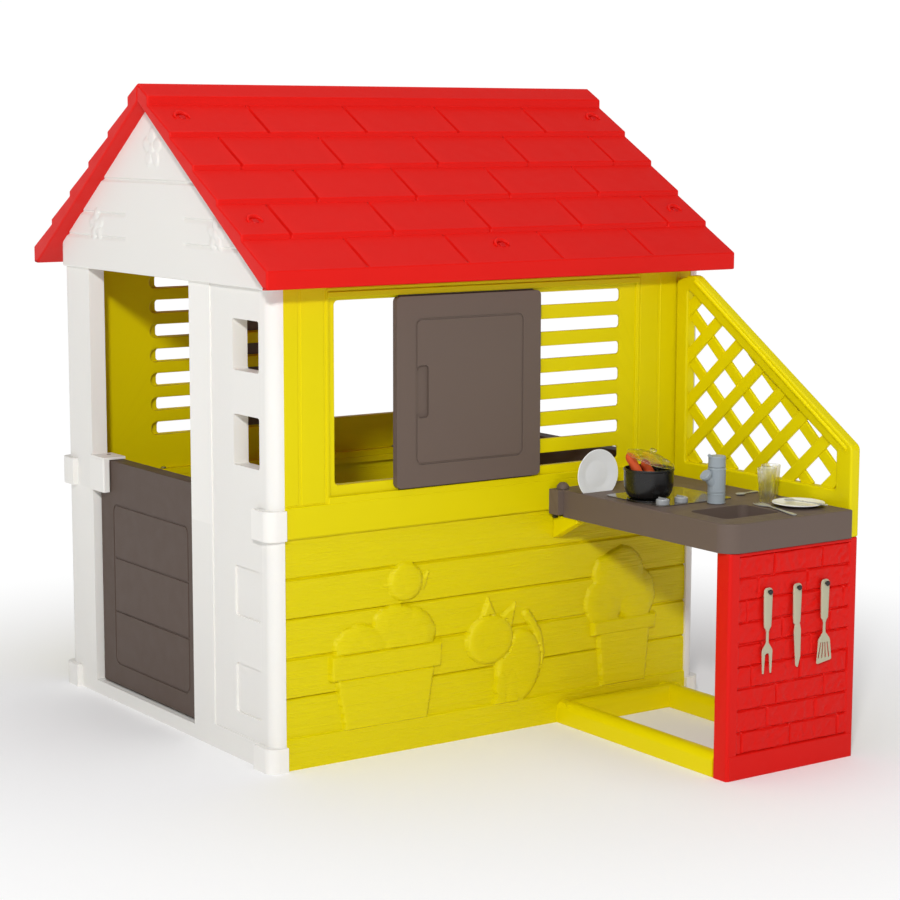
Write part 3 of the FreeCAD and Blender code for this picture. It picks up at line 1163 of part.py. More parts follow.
def lay_down(tool, places, base):
    """Turn and move a flat tool so that it lies from the first place to the second."""
    tip, end = [on_worktop(place) for place in places]
    angle = math.degrees(math.atan2(end[1] - tip[1], end[0] - tip[0]))
    tool.rotate(FreeCAD.Vector(0, 0, 0), FreeCAD.Vector(0, 0, 1), angle)
    tool.translate(FreeCAD.Vector(tip[0], tip[1], base))
    return tool


def distance(places):
    (x0, y0), (x1, y1) = places
    return math.hypot(x1 - x0, y1 - y0)


def table_fork():
    length = distance(FORK_PLACES)
    head = FORK_WIDTH / 2
    outline = [(0, -head), (34, -head), (48, -4), (length - 20, -5), (length, -6), (length, 6),
               (length - 20, 5), (48, 4), (34, head), (0, head)]
    fork = flat_tool(outline, CUTLERY_THICKNESS)
    for gap in (-FORK_WIDTH / 4, 0, FORK_WIDTH / 4):
        fork = fork.cut(box(-1, 26, gap - 1.5, gap + 1.5, -1, CUTLERY_THICKNESS + 1))
    return lay_down(fork, FORK_PLACES, ON_WORKTOP)


def spoon(places, base):
    length = distance(places)
    bowl = cylinder(SPOON_BOWL_RADIUS, CUTLERY_THICKNESS, (SPOON_BOWL_RADIUS, 0, 0))
    handle = flat_tool([(18, -3.5), (length, -5), (length, 5), (18, 3.5)], CUTLERY_THICKNESS)
    return lay_down(fuse([bowl, handle]), places, base)


def hanging_tool(y, outline, cuts):
    """A flat kitchen tool: outline and cuts are (y, z) from its hole, which takes the hook."""
    x0 = PANEL_FACE + TOOL_STANDOFF
    hole_z = HOOK_HEIGHT - (TOOL_HOLE_RADIUS - HOOK_RADIUS) + SEAT_GAP
    solid = prism([(x0, y + dy, hole_z + dz) for dy, dz in outline], (TOOL_THICKNESS, 0, 0))
    solid = solid.makeFillet(3.0, edges_along(solid, 0, lambda m: m.z > hole_z + 8))
    for y0, y1, z0, z1 in cuts:
        solid = solid.cut(box(x0 - 1, x0 + TOOL_THICKNESS + 1, y + y0, y + y1,
                              hole_z + z0, hole_z + z1))
    return solid.cut(cylinder(TOOL_HOLE_RADIUS, TOOL_THICKNESS + 2, (x0 - 1, y, hole_z), (1, 0, 0)))


def tool_outlines():
    tip = -TOOL_LENGTH
    fork = [(-9, 9), (9, 9), (9, -8), (4.5, -60), (5, -92), (13, -104), (13, tip), (-13, tip),
            (-13, -104), (-5, -92), (-4.5, -60), (-9, -8)]
    knife = [(-9, 9), (9, 9), (9, -8), (6.5, -66), (10.5, -80), (10.5, tip + 16), (4, tip),
             (-8, -80), (-6.5, -66), (-9, -8)]
    spatula = [(-9, 9), (9, 9), (9, -8), (4.5, -60), (5, -86), (16, -98), (20, tip), (-20, tip),
               (-16, -98), (-5, -86), (-4.5, -60), (-9, -8)]
    fork_cuts = [(-5.5, 5.5, tip - 1, -114.0)]
    spatula_cuts = [(step - 1.6, step + 1.6, tip + 10, -108.0) for step in (-8.0, 0.0, 8.0)]
    return (("hanging_fork", fork, fork_cuts), ("hanging_knife", knife, []),
            ("hanging_spatula", spatula, spatula_cuts))


# ---------------------------------------------------------------- write every piece

def main():
    os.makedirs("parts", exist_ok=True)
    house = {
        "lower_end_wall": lower_end_wall(),
        "upper_door_post": upper_left_post(),
        "upper_end_wall": upper_right_wall_end(),
        "gable": gable(),
        "half_door": half_door(),
    }
    for name, shape in house.items():
        write("front_" + name, shape)
        write("back_" + name, half_turn(shape))
    sides = {"lower_wall": lower_long_wall(), "upper_wall": upper_long_wall(), "roof_half": roof_half()}
    for name, shape in sides.items():
        write("right_" + name, shape)
        write("left_" + name, half_turn(shape))
    write("right_shutter", shutter(RIGHT_SHUTTER_AT))
    write("left_shutter", half_turn(shutter(LEFT_SHUTTER_AT)))
    write("roof_screws", roof_screws())
    write("wall_screws", wall_screws())
    write("kitchen_side_panel", side_panel())
    write("kitchen_lattice_panel", lattice_panel())
    write("worktop", worktop())
    write("worktop_wall_bracket", wall_bracket())
    write("worktop_bracket_knob", bracket_knob())
    write("worktop_gussets", gussets())
    write("gusset_clips", gusset_clips())
    write("floor_frame", floor_frame())
    write("hob_plate", hob_plate())
    write("hob_burner", hob_burner())
    for number, place in enumerate(HOB_KNOB_PLACES, start=1):
        write("hob_knob_" + str(number), hob_knob(place))
    write("tap_base", tap_base())
    write("tap_spout_sleeve", tap_sleeve())
    write("tap_cap", tap_cap())
    write("tool_hooks", tool_hooks())
    for y, (name, outline, cuts) in zip(HOOK_Y, tool_outlines()):
        write(name, hanging_tool(y, outline, cuts))
    write("cooking_pot", pot())
    write("pot_lid", lid())
    write("toy_sausages", sausages())
    write("upright_plate", upright_plate())
    write("flat_plate", flat_plate())
    for number, place in enumerate(TUMBLER_PLACES, start=1):
        write("tumbler_" + str(number), tumbler(place))
    write("table_fork", table_fork())
    write("side_spoon", spoon(SIDE_SPOON_PLACES, ON_WORKTOP))
    write("plate_spoon", spoon(PLATE_SPOON_PLACES, ON_WORKTOP + PLATE_HEIGHT + SEAT_GAP))


main()
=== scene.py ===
import json
import math

import bmesh
import bpy
import numpy as np
from mathutils import Matrix, Vector
from mathutils.geometry import tessellate_polygon


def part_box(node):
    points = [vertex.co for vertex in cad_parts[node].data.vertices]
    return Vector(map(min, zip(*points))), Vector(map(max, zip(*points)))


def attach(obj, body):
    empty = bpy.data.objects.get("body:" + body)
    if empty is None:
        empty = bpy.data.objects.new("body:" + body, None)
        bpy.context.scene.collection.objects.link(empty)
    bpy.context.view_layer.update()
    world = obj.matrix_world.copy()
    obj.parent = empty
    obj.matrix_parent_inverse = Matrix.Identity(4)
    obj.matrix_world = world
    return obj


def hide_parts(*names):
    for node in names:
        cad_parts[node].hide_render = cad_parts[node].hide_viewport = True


# The looks of a child's plastic playhouse with a side kitchen, built round its CAD frame.
# Shapes are drawn in millimetres about the middle of the house, with -Y to the front gable and
# +X to the kitchen, and are turned into metres in the row frame when a piece is made.

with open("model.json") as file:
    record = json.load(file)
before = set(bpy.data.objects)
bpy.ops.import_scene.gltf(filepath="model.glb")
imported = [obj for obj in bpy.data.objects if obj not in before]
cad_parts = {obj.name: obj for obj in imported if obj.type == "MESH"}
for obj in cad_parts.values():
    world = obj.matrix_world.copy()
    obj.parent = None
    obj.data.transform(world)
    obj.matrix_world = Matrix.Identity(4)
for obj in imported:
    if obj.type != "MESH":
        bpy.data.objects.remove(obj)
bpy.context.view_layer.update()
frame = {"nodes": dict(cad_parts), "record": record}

AXIS_X = (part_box("left_roof_half")[0].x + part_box("right_roof_half")[1].x) / 2
SLOT_OF = {part["node"]: part["material_slot"] for part in frame["record"]["subparts"]}
BODY_OF = {node: body for body, nodes in frame["record"]["behaviour"]["bodies"].items() for node in nodes}


def cad(node):
    """Lowest and highest corner of a CAD node, in house millimetres."""
    low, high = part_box(node)
    return ([(low.x - AXIS_X) * 1000, low.y * 1000, low.z * 1000],
            [(high.x - AXIS_X) * 1000, high.y * 1000, high.z * 1000])


def middle_of(node):
    """Middle of a CAD node's box, in house millimetres."""
    low, high = cad(node)
    return Vector([(a + b) / 2 for a, b in zip(low, high)])


# ---------------------------------------------------------------- materials

def linear(rgb):
    """sRGB 0-255 to the linear colour that shaders take."""
    out = []
    for value in rgb:
        c = value / 255
        out.append(c / 12.92 if c <= 0.04045 else ((c + 0.055) / 1.055) ** 2.4)
    return (*out, 1.0)


def shade(colour, factor):
    """A colour made lighter or darker."""
    return (*[min(1.0, c * factor) for c in colour[:3]], 1.0)


class Nodes:
    """A short way to write a node tree."""

    def __init__(self, name):
        self.material = bpy.data.materials.new(name)
        self.material.use_nodes = True
        self.tree = self.material.node_tree
        self.tree.nodes.clear()
        self.output = self.tree.nodes.new("ShaderNodeOutputMaterial")
        self.coordinates = self.tree.nodes.new("ShaderNodeTexCoord").outputs["Object"]

    def node(self, kind, inputs=None, **settings):
        made = self.tree.nodes.new("ShaderNode" + kind)
        for key, value in settings.items():
            setattr(made, key, value)
        for key, value in (inputs or {}).items():
            if isinstance(value, bpy.types.NodeSocket):
                self.tree.links.new(value, made.inputs[key])
            else:
                made.inputs[key].default_value = value
        return made

    def noise(self, scale, detail=2.0, stretch=(1, 1, 1), roughness=0.5):
        place = self.node("Mapping", {"Vector": self.coordinates, "Scale": stretch})
        return self.node("TexNoise", {"Vector": place.outputs[0], "Scale": scale, "Detail": detail,
                                      "Roughness": roughness}).outputs["Fac"]

    def bump(self, height, distance, strength=1.0, normal=None):
        inputs = {"Height": height, "Distance": distance, "Strength": strength}
        if normal is not None:
            inputs["Normal"] = normal
        return self.node("Bump", inputs).outputs[0]

    def ramp(self, value, low, high):
        return self.node("MapRange", {"Value": value, "From Min": 0.3, "From Max": 0.7,
                                      "To Min": low, "To Max": high}).outputs[0]

    def mix(self, factor, first, second):
        made = self.node("Mix", data_type="RGBA")
        self.tree.links.new(factor, made.inputs["Factor"])
        for key, value in (("A", first), ("B", second)):
            socket = [s for s in made.inputs if s.name == key and s.type == "RGBA"][0]
            if isinstance(value, bpy.types.NodeSocket):
                self.tree.links.new(value, socket)
            else:
                socket.default_value = value
        return [s for s in made.outputs if s.type == "RGBA"][0]

    def finish(self, shader):
        self.tree.links.new(shader.outputs[0], self.output.inputs[0])
        return self.material


def moulded(name, rgb, rough=0.42, variation=0.05, texture=0.00012, waviness=0.0006, grain=0.0,
            coat=0.0, scatter=0.0, gloss=0.13):
    """Moulded plastic: faint mottling, a spark-eroded fine texture, and slow waviness of the skin."""
    tree = Nodes(name)
    colour = linear(rgb)
    mottle = tree.noise(9.0, 3.0)
    # Convex edges are painted up to 12% lighter. This is partly rub wear and partly a painted highlight, standing in
    # for the light that rounded edges catch.
    edge = tree.node("NewGeometry").outputs["Pointiness"]
    edge_wear_and_highlight = tree.node("MapRange", {"Value": edge, "From Min": 0.52, "From Max": 0.62}).outputs[0]
    body = tree.mix(mottle, shade(colour, 1 - variation), shade(colour, 1 + variation))
    fine_colour = tree.mix(tree.noise(420.0, 2.0), shade(colour, 0.985), shade(colour, 1.015))
    body = tree.mix(tree.noise(2.5, 1.0), body, fine_colour)
    body = tree.mix(edge_wear_and_highlight, body, shade(colour, 1.12))
    fine = tree.noise(1500.0, 3.0, roughness=0.6)
    normal = tree.bump(fine, texture)
    if waviness:
        normal = tree.bump(tree.noise(6.0, 1.0), waviness, normal=normal)
    if grain:
        streaks = tree.noise(1.0, 3.0, stretch=(2.0, 7.0, 330.0), roughness=0.65)
        normal = tree.bump(streaks, grain, normal=normal)
    roughness = tree.ramp(tree.noise(30.0, 3.0), rough - 0.05, rough + 0.05)
    shader = tree.node("BsdfPrincipled", {"Base Color": body, "Roughness": roughness, "Normal": normal,
                                          "IOR": 1.49, "Specular IOR Level": gloss})
    if coat:
        shader.inputs["Coat Weight"].default_value = coat
        shader.inputs["Coat Roughness"].default_value = 0.06
    if scatter:
        shader.inputs["Subsurface Weight"].default_value = scatter
        shader.inputs["Subsurface Radius"].default_value = (0.004, 0.003, 0.002)
    return tree.finish(shader)


def clear(name, tint, rough=0.04):
    """Clear polystyrene with faint flow lines."""
    tree = Nodes(name)
    flow = tree.bump(tree.noise(60.0, 2.0, stretch=(1, 1, 0.2)), 0.0004)
    roughness = tree.ramp(tree.noise(80.0, 2.0), rough, rough + 0.05)
    shader = tree.node("BsdfPrincipled", {"Base Color": tint, "Roughness": roughness, "Normal": flow,
                                          "IOR": 1.45, "Transmission Weight": 1.0, "Alpha": 0.42})
    return tree.finish(shader)


def brushed(name, rgb, metallic=1.0):
    """Zinc-plated steel, or silver-coloured plastic, with drawn-out scratches."""
    tree = Nodes(name)
    colour = linear(rgb)
    scratch = tree.noise(90.0, 4.0, stretch=(1, 1, 14))
    body = tree.mix(scratch, shade(colour, 0.82), shade(colour, 1.15))
    roughness = tree.ramp(scratch, 0.26, 0.42)
    shader = tree.node("BsdfPrincipled", {"Base Color": body, "Roughness": roughness, "Metallic": metallic,
                                          "Normal": tree.bump(scratch, 0.00008)})
    return tree.finish(shader)


def make_materials():
    made = {
        "white_plastic": moulded("white_polyethylene", (234, 232, 227), rough=0.46, variation=0.012,
                                 scatter=0.05),
        "yellow_green_plastic": moulded("yellow_green_polyethylene", (222, 206, 0), rough=0.40,
                                        variation=0.03),
        "red_plastic": moulded("red_polyethylene", (216, 21, 14), rough=0.40, variation=0.05),
        "taupe_plastic": moulded("taupe_polyethylene", (104, 90, 82), rough=0.5, variation=0.03),
        # A darker copy of the taupe plastic for the doors: painted shade, standing in for the shade that falls on
        # them.
        "taupe_painted_door_shade": moulded("taupe_polyethylene_painted_door_shade", (90, 76, 68), rough=0.46, variation=0.03),
        "hob_gloss": moulded("glossy_hob", (84, 76, 68), rough=0.16, variation=0.05, texture=0.00002,
                             waviness=0.0002, coat=0.6),
        "black_plastic": moulded("black_polypropylene", (17, 16, 16), rough=0.27, texture=0.00004, gloss=0.45),
        "silver_plastic": moulded("translucent_silver", (158, 161, 164), rough=0.2, texture=0.00004,
                                  coat=0.5, gloss=0.5),
        "grey_plastic": moulded("tap_grey", (154, 163, 169), rough=0.34, texture=0.00008),
        "plate_plastic": moulded("white_polystyrene", (238, 240, 242), rough=0.25, texture=0.00004,
                                 variation=0.01, coat=0.3),
        "clear_plastic": clear("clear_polystyrene", (0.95, 0.97, 0.96, 1.0)),
        "utensil_plastic": moulded("utensil_beige_grey", (182, 178, 152), rough=0.38),
        "cutlery_plastic": brushed("silver_coated_plastic", (200, 203, 206), metallic=0.55),
        "sausage_plastic": moulded("toy_sausage", (206, 84, 40), rough=0.42, variation=0.16,
                                   texture=0.0004, scatter=0.1),
        "screw_red": moulded("screw_red", (196, 20, 20), rough=0.38),
        "screw_steel": brushed("zinc_steel", (172, 174, 176)),
    }
    made["yellow_boards"] = moulded("yellow_green_boards", (222, 206, 0), rough=0.33, variation=0.03,
                                    grain=0.002, gloss=0.2)
    return made


MATERIAL = make_materials()


# ---------------------------------------------------------------- shape building

class Shape:
    """Points in house millimetres and the faces between them."""

    def __init__(self):
        self.points = []
        self.faces = []

    def add(self, points, faces):
        first = len(self.points)
        self.points += [tuple(p) for p in points]
        self.faces += [tuple(first + i for i in face) for face in faces]
        return self

    def join(self, other):
        return self.add(other.points, other.faces)

    def moved(self, change):
        """A copy with the function change applied to every point."""
        copy = Shape()
        copy.points = [tuple(change(Vector(p))) for p in self.points]
        copy.faces = list(self.faces)
        return copy

    def half_turned(self):
        """The same shape on the opposite side of the house."""
        return self.moved(lambda p: Vector((-p.x, -p.y, p.z)))


SHOWN = set()       # the nodes that a piece stands for so far


def piece(name, shape, node, material=None, replaces=None, smooth=38.0):
    """Make a Blender object of a shape, which rides on a CAD node's body and stands for that node."""
    mesh = bpy.data.meshes.new(name)
    mesh.from_pydata([(x / 1000 + AXIS_X, y / 1000, z / 1000) for x, y, z in shape.points], [], shape.faces)
    work = bmesh.new()
    work.from_mesh(mesh)
    bmesh.ops.remove_doubles(work, verts=work.verts, dist=1e-6)
    bmesh.ops.dissolve_degenerate(work, edges=work.edges, dist=1e-7)
    bmesh.ops.recalc_face_normals(work, faces=work.faces)
    work.to_mesh(mesh)
    work.free()
    mesh.shade_smooth()
    mesh.set_sharp_from_angle(angle=math.radians(smooth))
    made = bpy.data.objects.new(name, mesh)
    bpy.context.scene.collection.objects.link(made)
    made.modifiers.new("normals", "WEIGHTED_NORMAL").keep_sharp = True
    mesh.materials.append(MATERIAL[material or SLOT_OF[node]])
    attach(made, BODY_OF[node])
    for stood_for in ([node] if replaces is None else replaces):
        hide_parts(stood_for)
        SHOWN.add(stood_for)
    return made


PLANES = {
    "x": lambda u, v, w: (w, u, v),          # u along Y, v up, w along X
    "-x": lambda u, v, w: (-w, -u, v),       # u along -Y, v up, w along -X
    "y": lambda u, v, w: (u, -w, v),         # u along X, v up, w towards -Y
    "z": lambda u, v, w: (u, v, w),          # u along X, v along Y, w up
}


def signed_area(loop):
    """Area of a loop, positive when it runs anticlockwise."""
    return sum(a[0] * b[1] - b[0] * a[1] for a, b in zip(loop, loop[1:] + loop[:1])) / 2


def inset(loop, distance):
    """Move every edge of a loop to its left by distance."""
    if abs(distance) < 1e-9:
        return list(loop)
    moved = []
    count = len(loop)
    for i in range(count):
        before, here, after = (Vector(loop[(i + k) % count]) for k in (-1, 0, 1))
        first = (here - before).normalized()
        second = (after - here).normalized()
        n1 = Vector((-first.y, first.x))
        n2 = Vector((-second.y, second.x))
        corner = (n1 + n2) / max(0.3, 1 + n1.dot(n2))
        moved.append(tuple(here + corner * distance))
    return moved


def rounded(corners, radius, steps=6):
    """A closed loop through corners, each rounded by its own radius or by the same one."""
    radii = radius if isinstance(radius, (list, tuple)) else [radius] * len(corners)
    loop = []
    count = len(corners)
    for i in range(count):
        here = Vector(corners[i])
        a = Vector(corners[i - 1]) - here
        b = Vector(corners[(i + 1) % count]) - here
        la, lb = a.length, b.length
        a.normalize()
        b.normalize()
        half = math.acos(max(-1, min(1, a.dot(b)))) / 2
        if radii[i] < 0.01 or half > math.pi / 2 - 0.01:
            loop.append(tuple(here))
            continue
        back = min(radii[i] / math.tan(half), la * 0.49, lb * 0.49)
        r = back * math.tan(half)
        middle = here + (a + b).normalized() * (r / math.sin(half))
        start = here + a * back - middle
        end = here + b * back - middle
        angle0 = math.atan2(start.y, start.x)
        turn = math.atan2(end.y, end.x) - angle0
        turn = (turn + math.pi) % (2 * math.pi) - math.pi
        for k in range(steps + 1):
            angle = angle0 + turn * k / steps
            loop.append((middle.x + r * math.cos(angle), middle.y + r * math.sin(angle)))
    return loop


def rectangle(u0, u1, v0, v1, radius=0.0, steps=6):
    return rounded([(u0, v0), (u1, v0), (u1, v1), (u0, v1)], radius, steps)


def edge_rings(radius, steps):
    """(Inset, depth) of the points round an edge, from the upright side to the face."""
    if radius < 1e-6:
        return [(0.0, 0.0)]
    angles = [math.pi / 2 * k / steps for k in range(steps + 1)]
    return [(radius * (1 - math.cos(a)), radius * (1 - math.sin(a))) for a in angles]


def band(first, size):
    """Faces between a ring of points and the ring that follows it."""
    return [(first + i, first + (i + 1) % size, first + (i + 1) % size + size, first + i + size)
            for i in range(size)]


def plate(plane, outer, low, high, holes=(), edge=1.5, low_edge=None, steps=3):
    """A flat moulding from low to high across its plane, with rounded edges and holes."""
    low_edge = edge if low_edge is None else low_edge
    outer = list(outer) if signed_area(outer) > 0 else list(outer)[::-1]
    loops = [outer] + [list(h) if signed_area(h) < 0 else list(h)[::-1] for h in holes]
    rings = [(back, low + depth) for back, depth in edge_rings(low_edge, steps)[::-1]]
    rings += [(back, high - depth) for back, depth in edge_rings(edge, steps)]
    to_space = PLANES[plane]
    shape = Shape()
    caps = {}
    for loop in loops:
        size = len(loop)
        first = len(shape.points)
        for distance, w in rings:
            shape.points += [to_space(u, v, w) for u, v in inset(loop, distance)]
        for r in range(len(rings) - 1):
            shape.faces += band(first + r * size, size)
        caps.setdefault("low", []).append((first, inset(loop, rings[0][0])))
        caps.setdefault("high", []).append((first + (len(rings) - 1) * size, inset(loop, rings[-1][0])))
    for side, flipped in (("low", True), ("high", False)):
        flat = [[Vector((u, v, 0)) for u, v in ring] for _, ring in caps[side]]
        index = [start + i for start, ring in caps[side] for i in range(len(ring))]
        spots = [p for ring in flat for p in ring]
        for triangle in tessellate_polygon(flat):
            a, b, c = (spots[i] for i in triangle)
            if abs((b - a).cross(c - a).z) < 1e-9:
                continue
            up = (b - a).cross(c - a).z > 0
            order = triangle if up != flipped else triangle[::-1]
            shape.faces.append(tuple(index[i] for i in order))
    return shape


def block(x0, x1, y0, y1, z0, z1, edge=1.5):
    """A box with rounded edges."""
    return plate("z", rectangle(x0, x1, y0, y1, edge), z0, z1, edge=edge)


def lathe(profile, at=(0, 0, 0), count=64):
    """Turn a closed (radius, height) outline about the upright line through at."""
    shape = Shape()
    size = len(profile)
    for k in range(count):
        angle = 2 * math.pi * k / count
        shape.points += [(at[0] + r * math.cos(angle), at[1] + r * math.sin(angle), at[2] + h)
                         for r, h in profile]
    for k in range(count):
        for i in range(size):
            j = (i + 1) % size
            if profile[i][0] < 1e-9 and profile[j][0] < 1e-9:
                continue
            a, b = k * size, (k + 1) % count * size
            shape.faces.append((a + i, b + i, b + j, a + j))
    return shape


def loft(rings):
    """Skin between rings of the same number of 3-D points, closed at both ends."""
    shape = Shape()
    size = len(rings[0])
    for ring in rings:
        shape.points += [tuple(p) for p in ring]
    for r in range(len(rings) - 1):
        shape.faces += band(r * size, size)
    last = (len(rings) - 1) * size
    shape.faces += [tuple(range(size))[::-1], tuple(last + i for i in range(size))]
    return shape


def tube(path, radii, count=16):
    """A round bar along a path, with a radius at each point."""
    path = [Vector(p) for p in path]
    radii = radii if isinstance(radii, (list, tuple)) else [radii] * len(path)
    rings = []
    side = None
    for i, here in enumerate(path):
        ahead = (path[min(i + 1, len(path) - 1)] - path[max(i - 1, 0)]).normalized()
        if side is None:
            side = ahead.orthogonal().normalized()
        side = (side - ahead * side.dot(ahead)).normalized()
        across = ahead.cross(side)
        rings.append([here + (side * math.cos(a) + across * math.sin(a)) * radii[i]
                      for a in (2 * math.pi * k / count for k in range(count))])
    return loft(rings)


def bar(start, end, width, thickness, edge, out):
    """A flat rounded strip from start to end; out is the direction of its thickness."""
    start, end, out = Vector(start), Vector(end), Vector(out).normalized()
    ahead = (end - start).normalized()
    side = out.cross(ahead)
    section = rectangle(-width / 2, width / 2, -thickness / 2, thickness / 2, edge, 3)
    return loft([[at + side * u + out * v for u, v in section] for at in (start, end)])


def spread(low, high, step, keep=()):
    """Numbers from low to high about step apart, with the numbers in keep among them."""
    stops = sorted(set([low, high] + [k for k in keep if low < k < high]))
    out = [low]
    for a, b in zip(stops, stops[1:]):
        count = max(1, round((b - a) / step))
        out += [a + (b - a) * (k + 1) / count for k in range(count)]
    return np.array(out)


def sheet_solid(to_space, us, vs, top, bottom):
    """A closed solid between two height fields over the same grid; top lies further out."""
    shape = Shape()
    grid_u, grid_v = np.meshgrid(us, vs)
    cols, rows = len(us), len(vs)
    for field in (top(grid_u, grid_v), bottom(grid_u, grid_v)):
        field = np.broadcast_to(field, grid_u.shape)
        x, y, z = (np.broadcast_to(c, grid_u.shape).ravel() for c in to_space(grid_u, grid_v, field))
        shape.points += list(zip(x.tolist(), y.tolist(), z.tolist()))
    under = cols * rows
    a = (np.arange(rows - 1)[:, None] * cols + np.arange(cols - 1)[None, :]).ravel()
    shape.faces += [tuple(q) for q in np.stack([a, a + 1, a + cols + 1, a + cols], 1).tolist()]
    shape.faces += [tuple(q) for q in (np.stack([a, a + cols, a + cols + 1, a + 1], 1) + under).tolist()]
    rim = list(range(cols)) + [r * cols + cols - 1 for r in range(1, rows)]
    rim += [(rows - 1) * cols + c for c in range(cols - 2, -1, -1)]
    rim += [r * cols for r in range(rows - 2, 0, -1)]
    shape.faces += [(a, under + a, under + b, b) for a, b in zip(rim, rim[1:] + rim[:1])]
    return shape


# ---------------------------------------------------------------- reliefs

def lattice_noise(u, v, scale, seed):
    """Smooth noise in -1..1 over a seeded lattice of points scale apart."""
    table = np.random.RandomState(seed).uniform(-1, 1, (64, 64))
    gu, gv = u / scale, v / scale
    iu, iv = np.floor(gu).astype(int), np.floor(gv).astype(int)
    fu, fv = gu - iu, gv - iv
    fu, fv = fu * fu * (3 - 2 * fu), fv * fv * (3 - 2 * fv)
    a = table[iv % 64, iu % 64] * (1 - fu) + table[iv % 64, (iu + 1) % 64] * fu
    b = table[(iv + 1) % 64, iu % 64] * (1 - fu) + table[(iv + 1) % 64, (iu + 1) % 64] * fu
    return a * (1 - fv) + b * fv


def wood_grain(u, v):
    """Shallow ripples that run along u and wander a little."""
    wander = 3.0 * lattice_noise(u, v, 90.0, 4) + 5.0 * lattice_noise(u, v, 260.0, 5)
    fine = np.sin((v + wander) * 2 * math.pi / 7.3) * (0.5 + 0.5 * lattice_noise(u, v * 3, 70.0, 6))
    broad = lattice_noise(u / 6, v + wander, 11.0, 7)
    return 0.2 * fine + 0.26 * broad


def groove(distance, width, depth):
    """Depth of a rounded groove at a distance from its middle."""
    t = np.clip(np.abs(distance) / (width / 2), 0, 1)
    return -depth * (1 - t * t) ** 2


def disc(u, v, cu, cv, ru, rv=None, angle=0.0):
    """Distance-like value: negative inside an ellipse."""
    rv = ru if rv is None else rv
    c, s = math.cos(math.radians(angle)), math.sin(math.radians(angle))
    du, dv = (u - cu) * c + (v - cv) * s, -(u - cu) * s + (v - cv) * c
    return (np.hypot(du / ru, dv / rv) - 1) * min(ru, rv)


def to_path(u, v, path):
    """Distance to the nearest point of an open path."""
    best = np.full(np.shape(u), 1e9)
    for (u0, v0), (u1, v1) in zip(path, path[1:]):
        eu, ev = u1 - u0, v1 - v0
        t = np.clip(((u - u0) * eu + (v - v0) * ev) / (eu * eu + ev * ev), 0, 1)
        best = np.minimum(best, np.hypot(u - u0 - eu * t, v - v0 - ev * t))
    return best


def polygon(u, v, corners):
    """Signed distance to a polygon, negative inside."""
    inside = np.zeros(np.shape(u), bool)
    for (u0, v0), (u1, v1) in zip(corners, corners[1:] + corners[:1]):
        crossing = ((v0 > v) != (v1 > v)) & (u < (u1 - u0) * (v - v0) / (v1 - v0 + 1e-12) + u0)
        inside ^= crossing
    distance = to_path(u, v, corners + corners[:1])
    return np.where(inside, -distance, distance)


def quarter_round(t):
    """How high a quarter-round edge stands (0 to 1) at a share t of its width."""
    return np.sqrt(1 - (1 - t) ** 2)


def raise_shape(height, distance, rise, shoulder, level=0.0, crown=0.0):
    """Lay a raised shape over a height field: it covers what is under it."""
    dome = level + rise * quarter_round(np.clip(-distance / shoulder, 0, 1))
    return np.where(distance < 0, dome + crown * np.clip(-distance / 60.0, 0, 1), height)


def planter(u, v, height, left, right, foot, neck, rim, blobs, seed):
    """A flower pot with a rim and one mass of rounded foliage."""
    leaves = np.full(np.shape(u), -1.0)
    for k, (cu, cv, ru, rv) in enumerate(blobs):
        d = disc(u, v, cu, cv, ru, rv) + 3.0 * lattice_noise(u, v, 21.0, seed + k)
        lobe = 2.0 + 7.5 * quarter_round(np.clip(-d / 30.0, 0, 1)) ** 1.2
        leaves = np.maximum(leaves, np.where(d < 0, lobe, -1.0))
    leaves = np.where(leaves > 0, leaves + 0.45 * lattice_noise(u, v, 9.0, seed + 9), -1.0)
    height = np.where((leaves > 0) & (v > neck), leaves, height)
    flare = (right - left) * 0.085
    body = [(left + flare, foot), (right - flare, foot), (right, neck + 4), (left, neck + 4)]
    height = raise_shape(height, polygon(u, v, body), 6.0, 6.0, level=1.6, crown=1.6)
    lip = [(left - 12, neck), (right + 12, neck), (right + 15, rim), (left - 15, rim)]
    return raise_shape(height, polygon(u, v, lip), 5.5, 5.0, level=5.0, crown=0.3)


def bird(u, v, height):
    """A plump round bird."""
    tail = [(-188, 322), (-160, 350), (-168, 322), (-176, 308)]
    height = raise_shape(height, polygon(u, v, tail), 3.6, 5.0, level=0.4)
    beak = [(-252, 322), (-268, 326), (-252, 334)]
    height = raise_shape(height, polygon(u, v, beak), 3.0, 4.0, level=0.4)
    height = raise_shape(height, disc(u, v, -216, 330, 39, 37), 7.0, 13.0, level=1.0, crown=1.0)
    height = raise_shape(height, disc(u, v, -203, 322, 19, 12, 28), 1.8, 4.0, level=7.6)
    return raise_shape(height, disc(u, v, -236, 338, 4, 4), 1.2, 2.5, level=8.0)


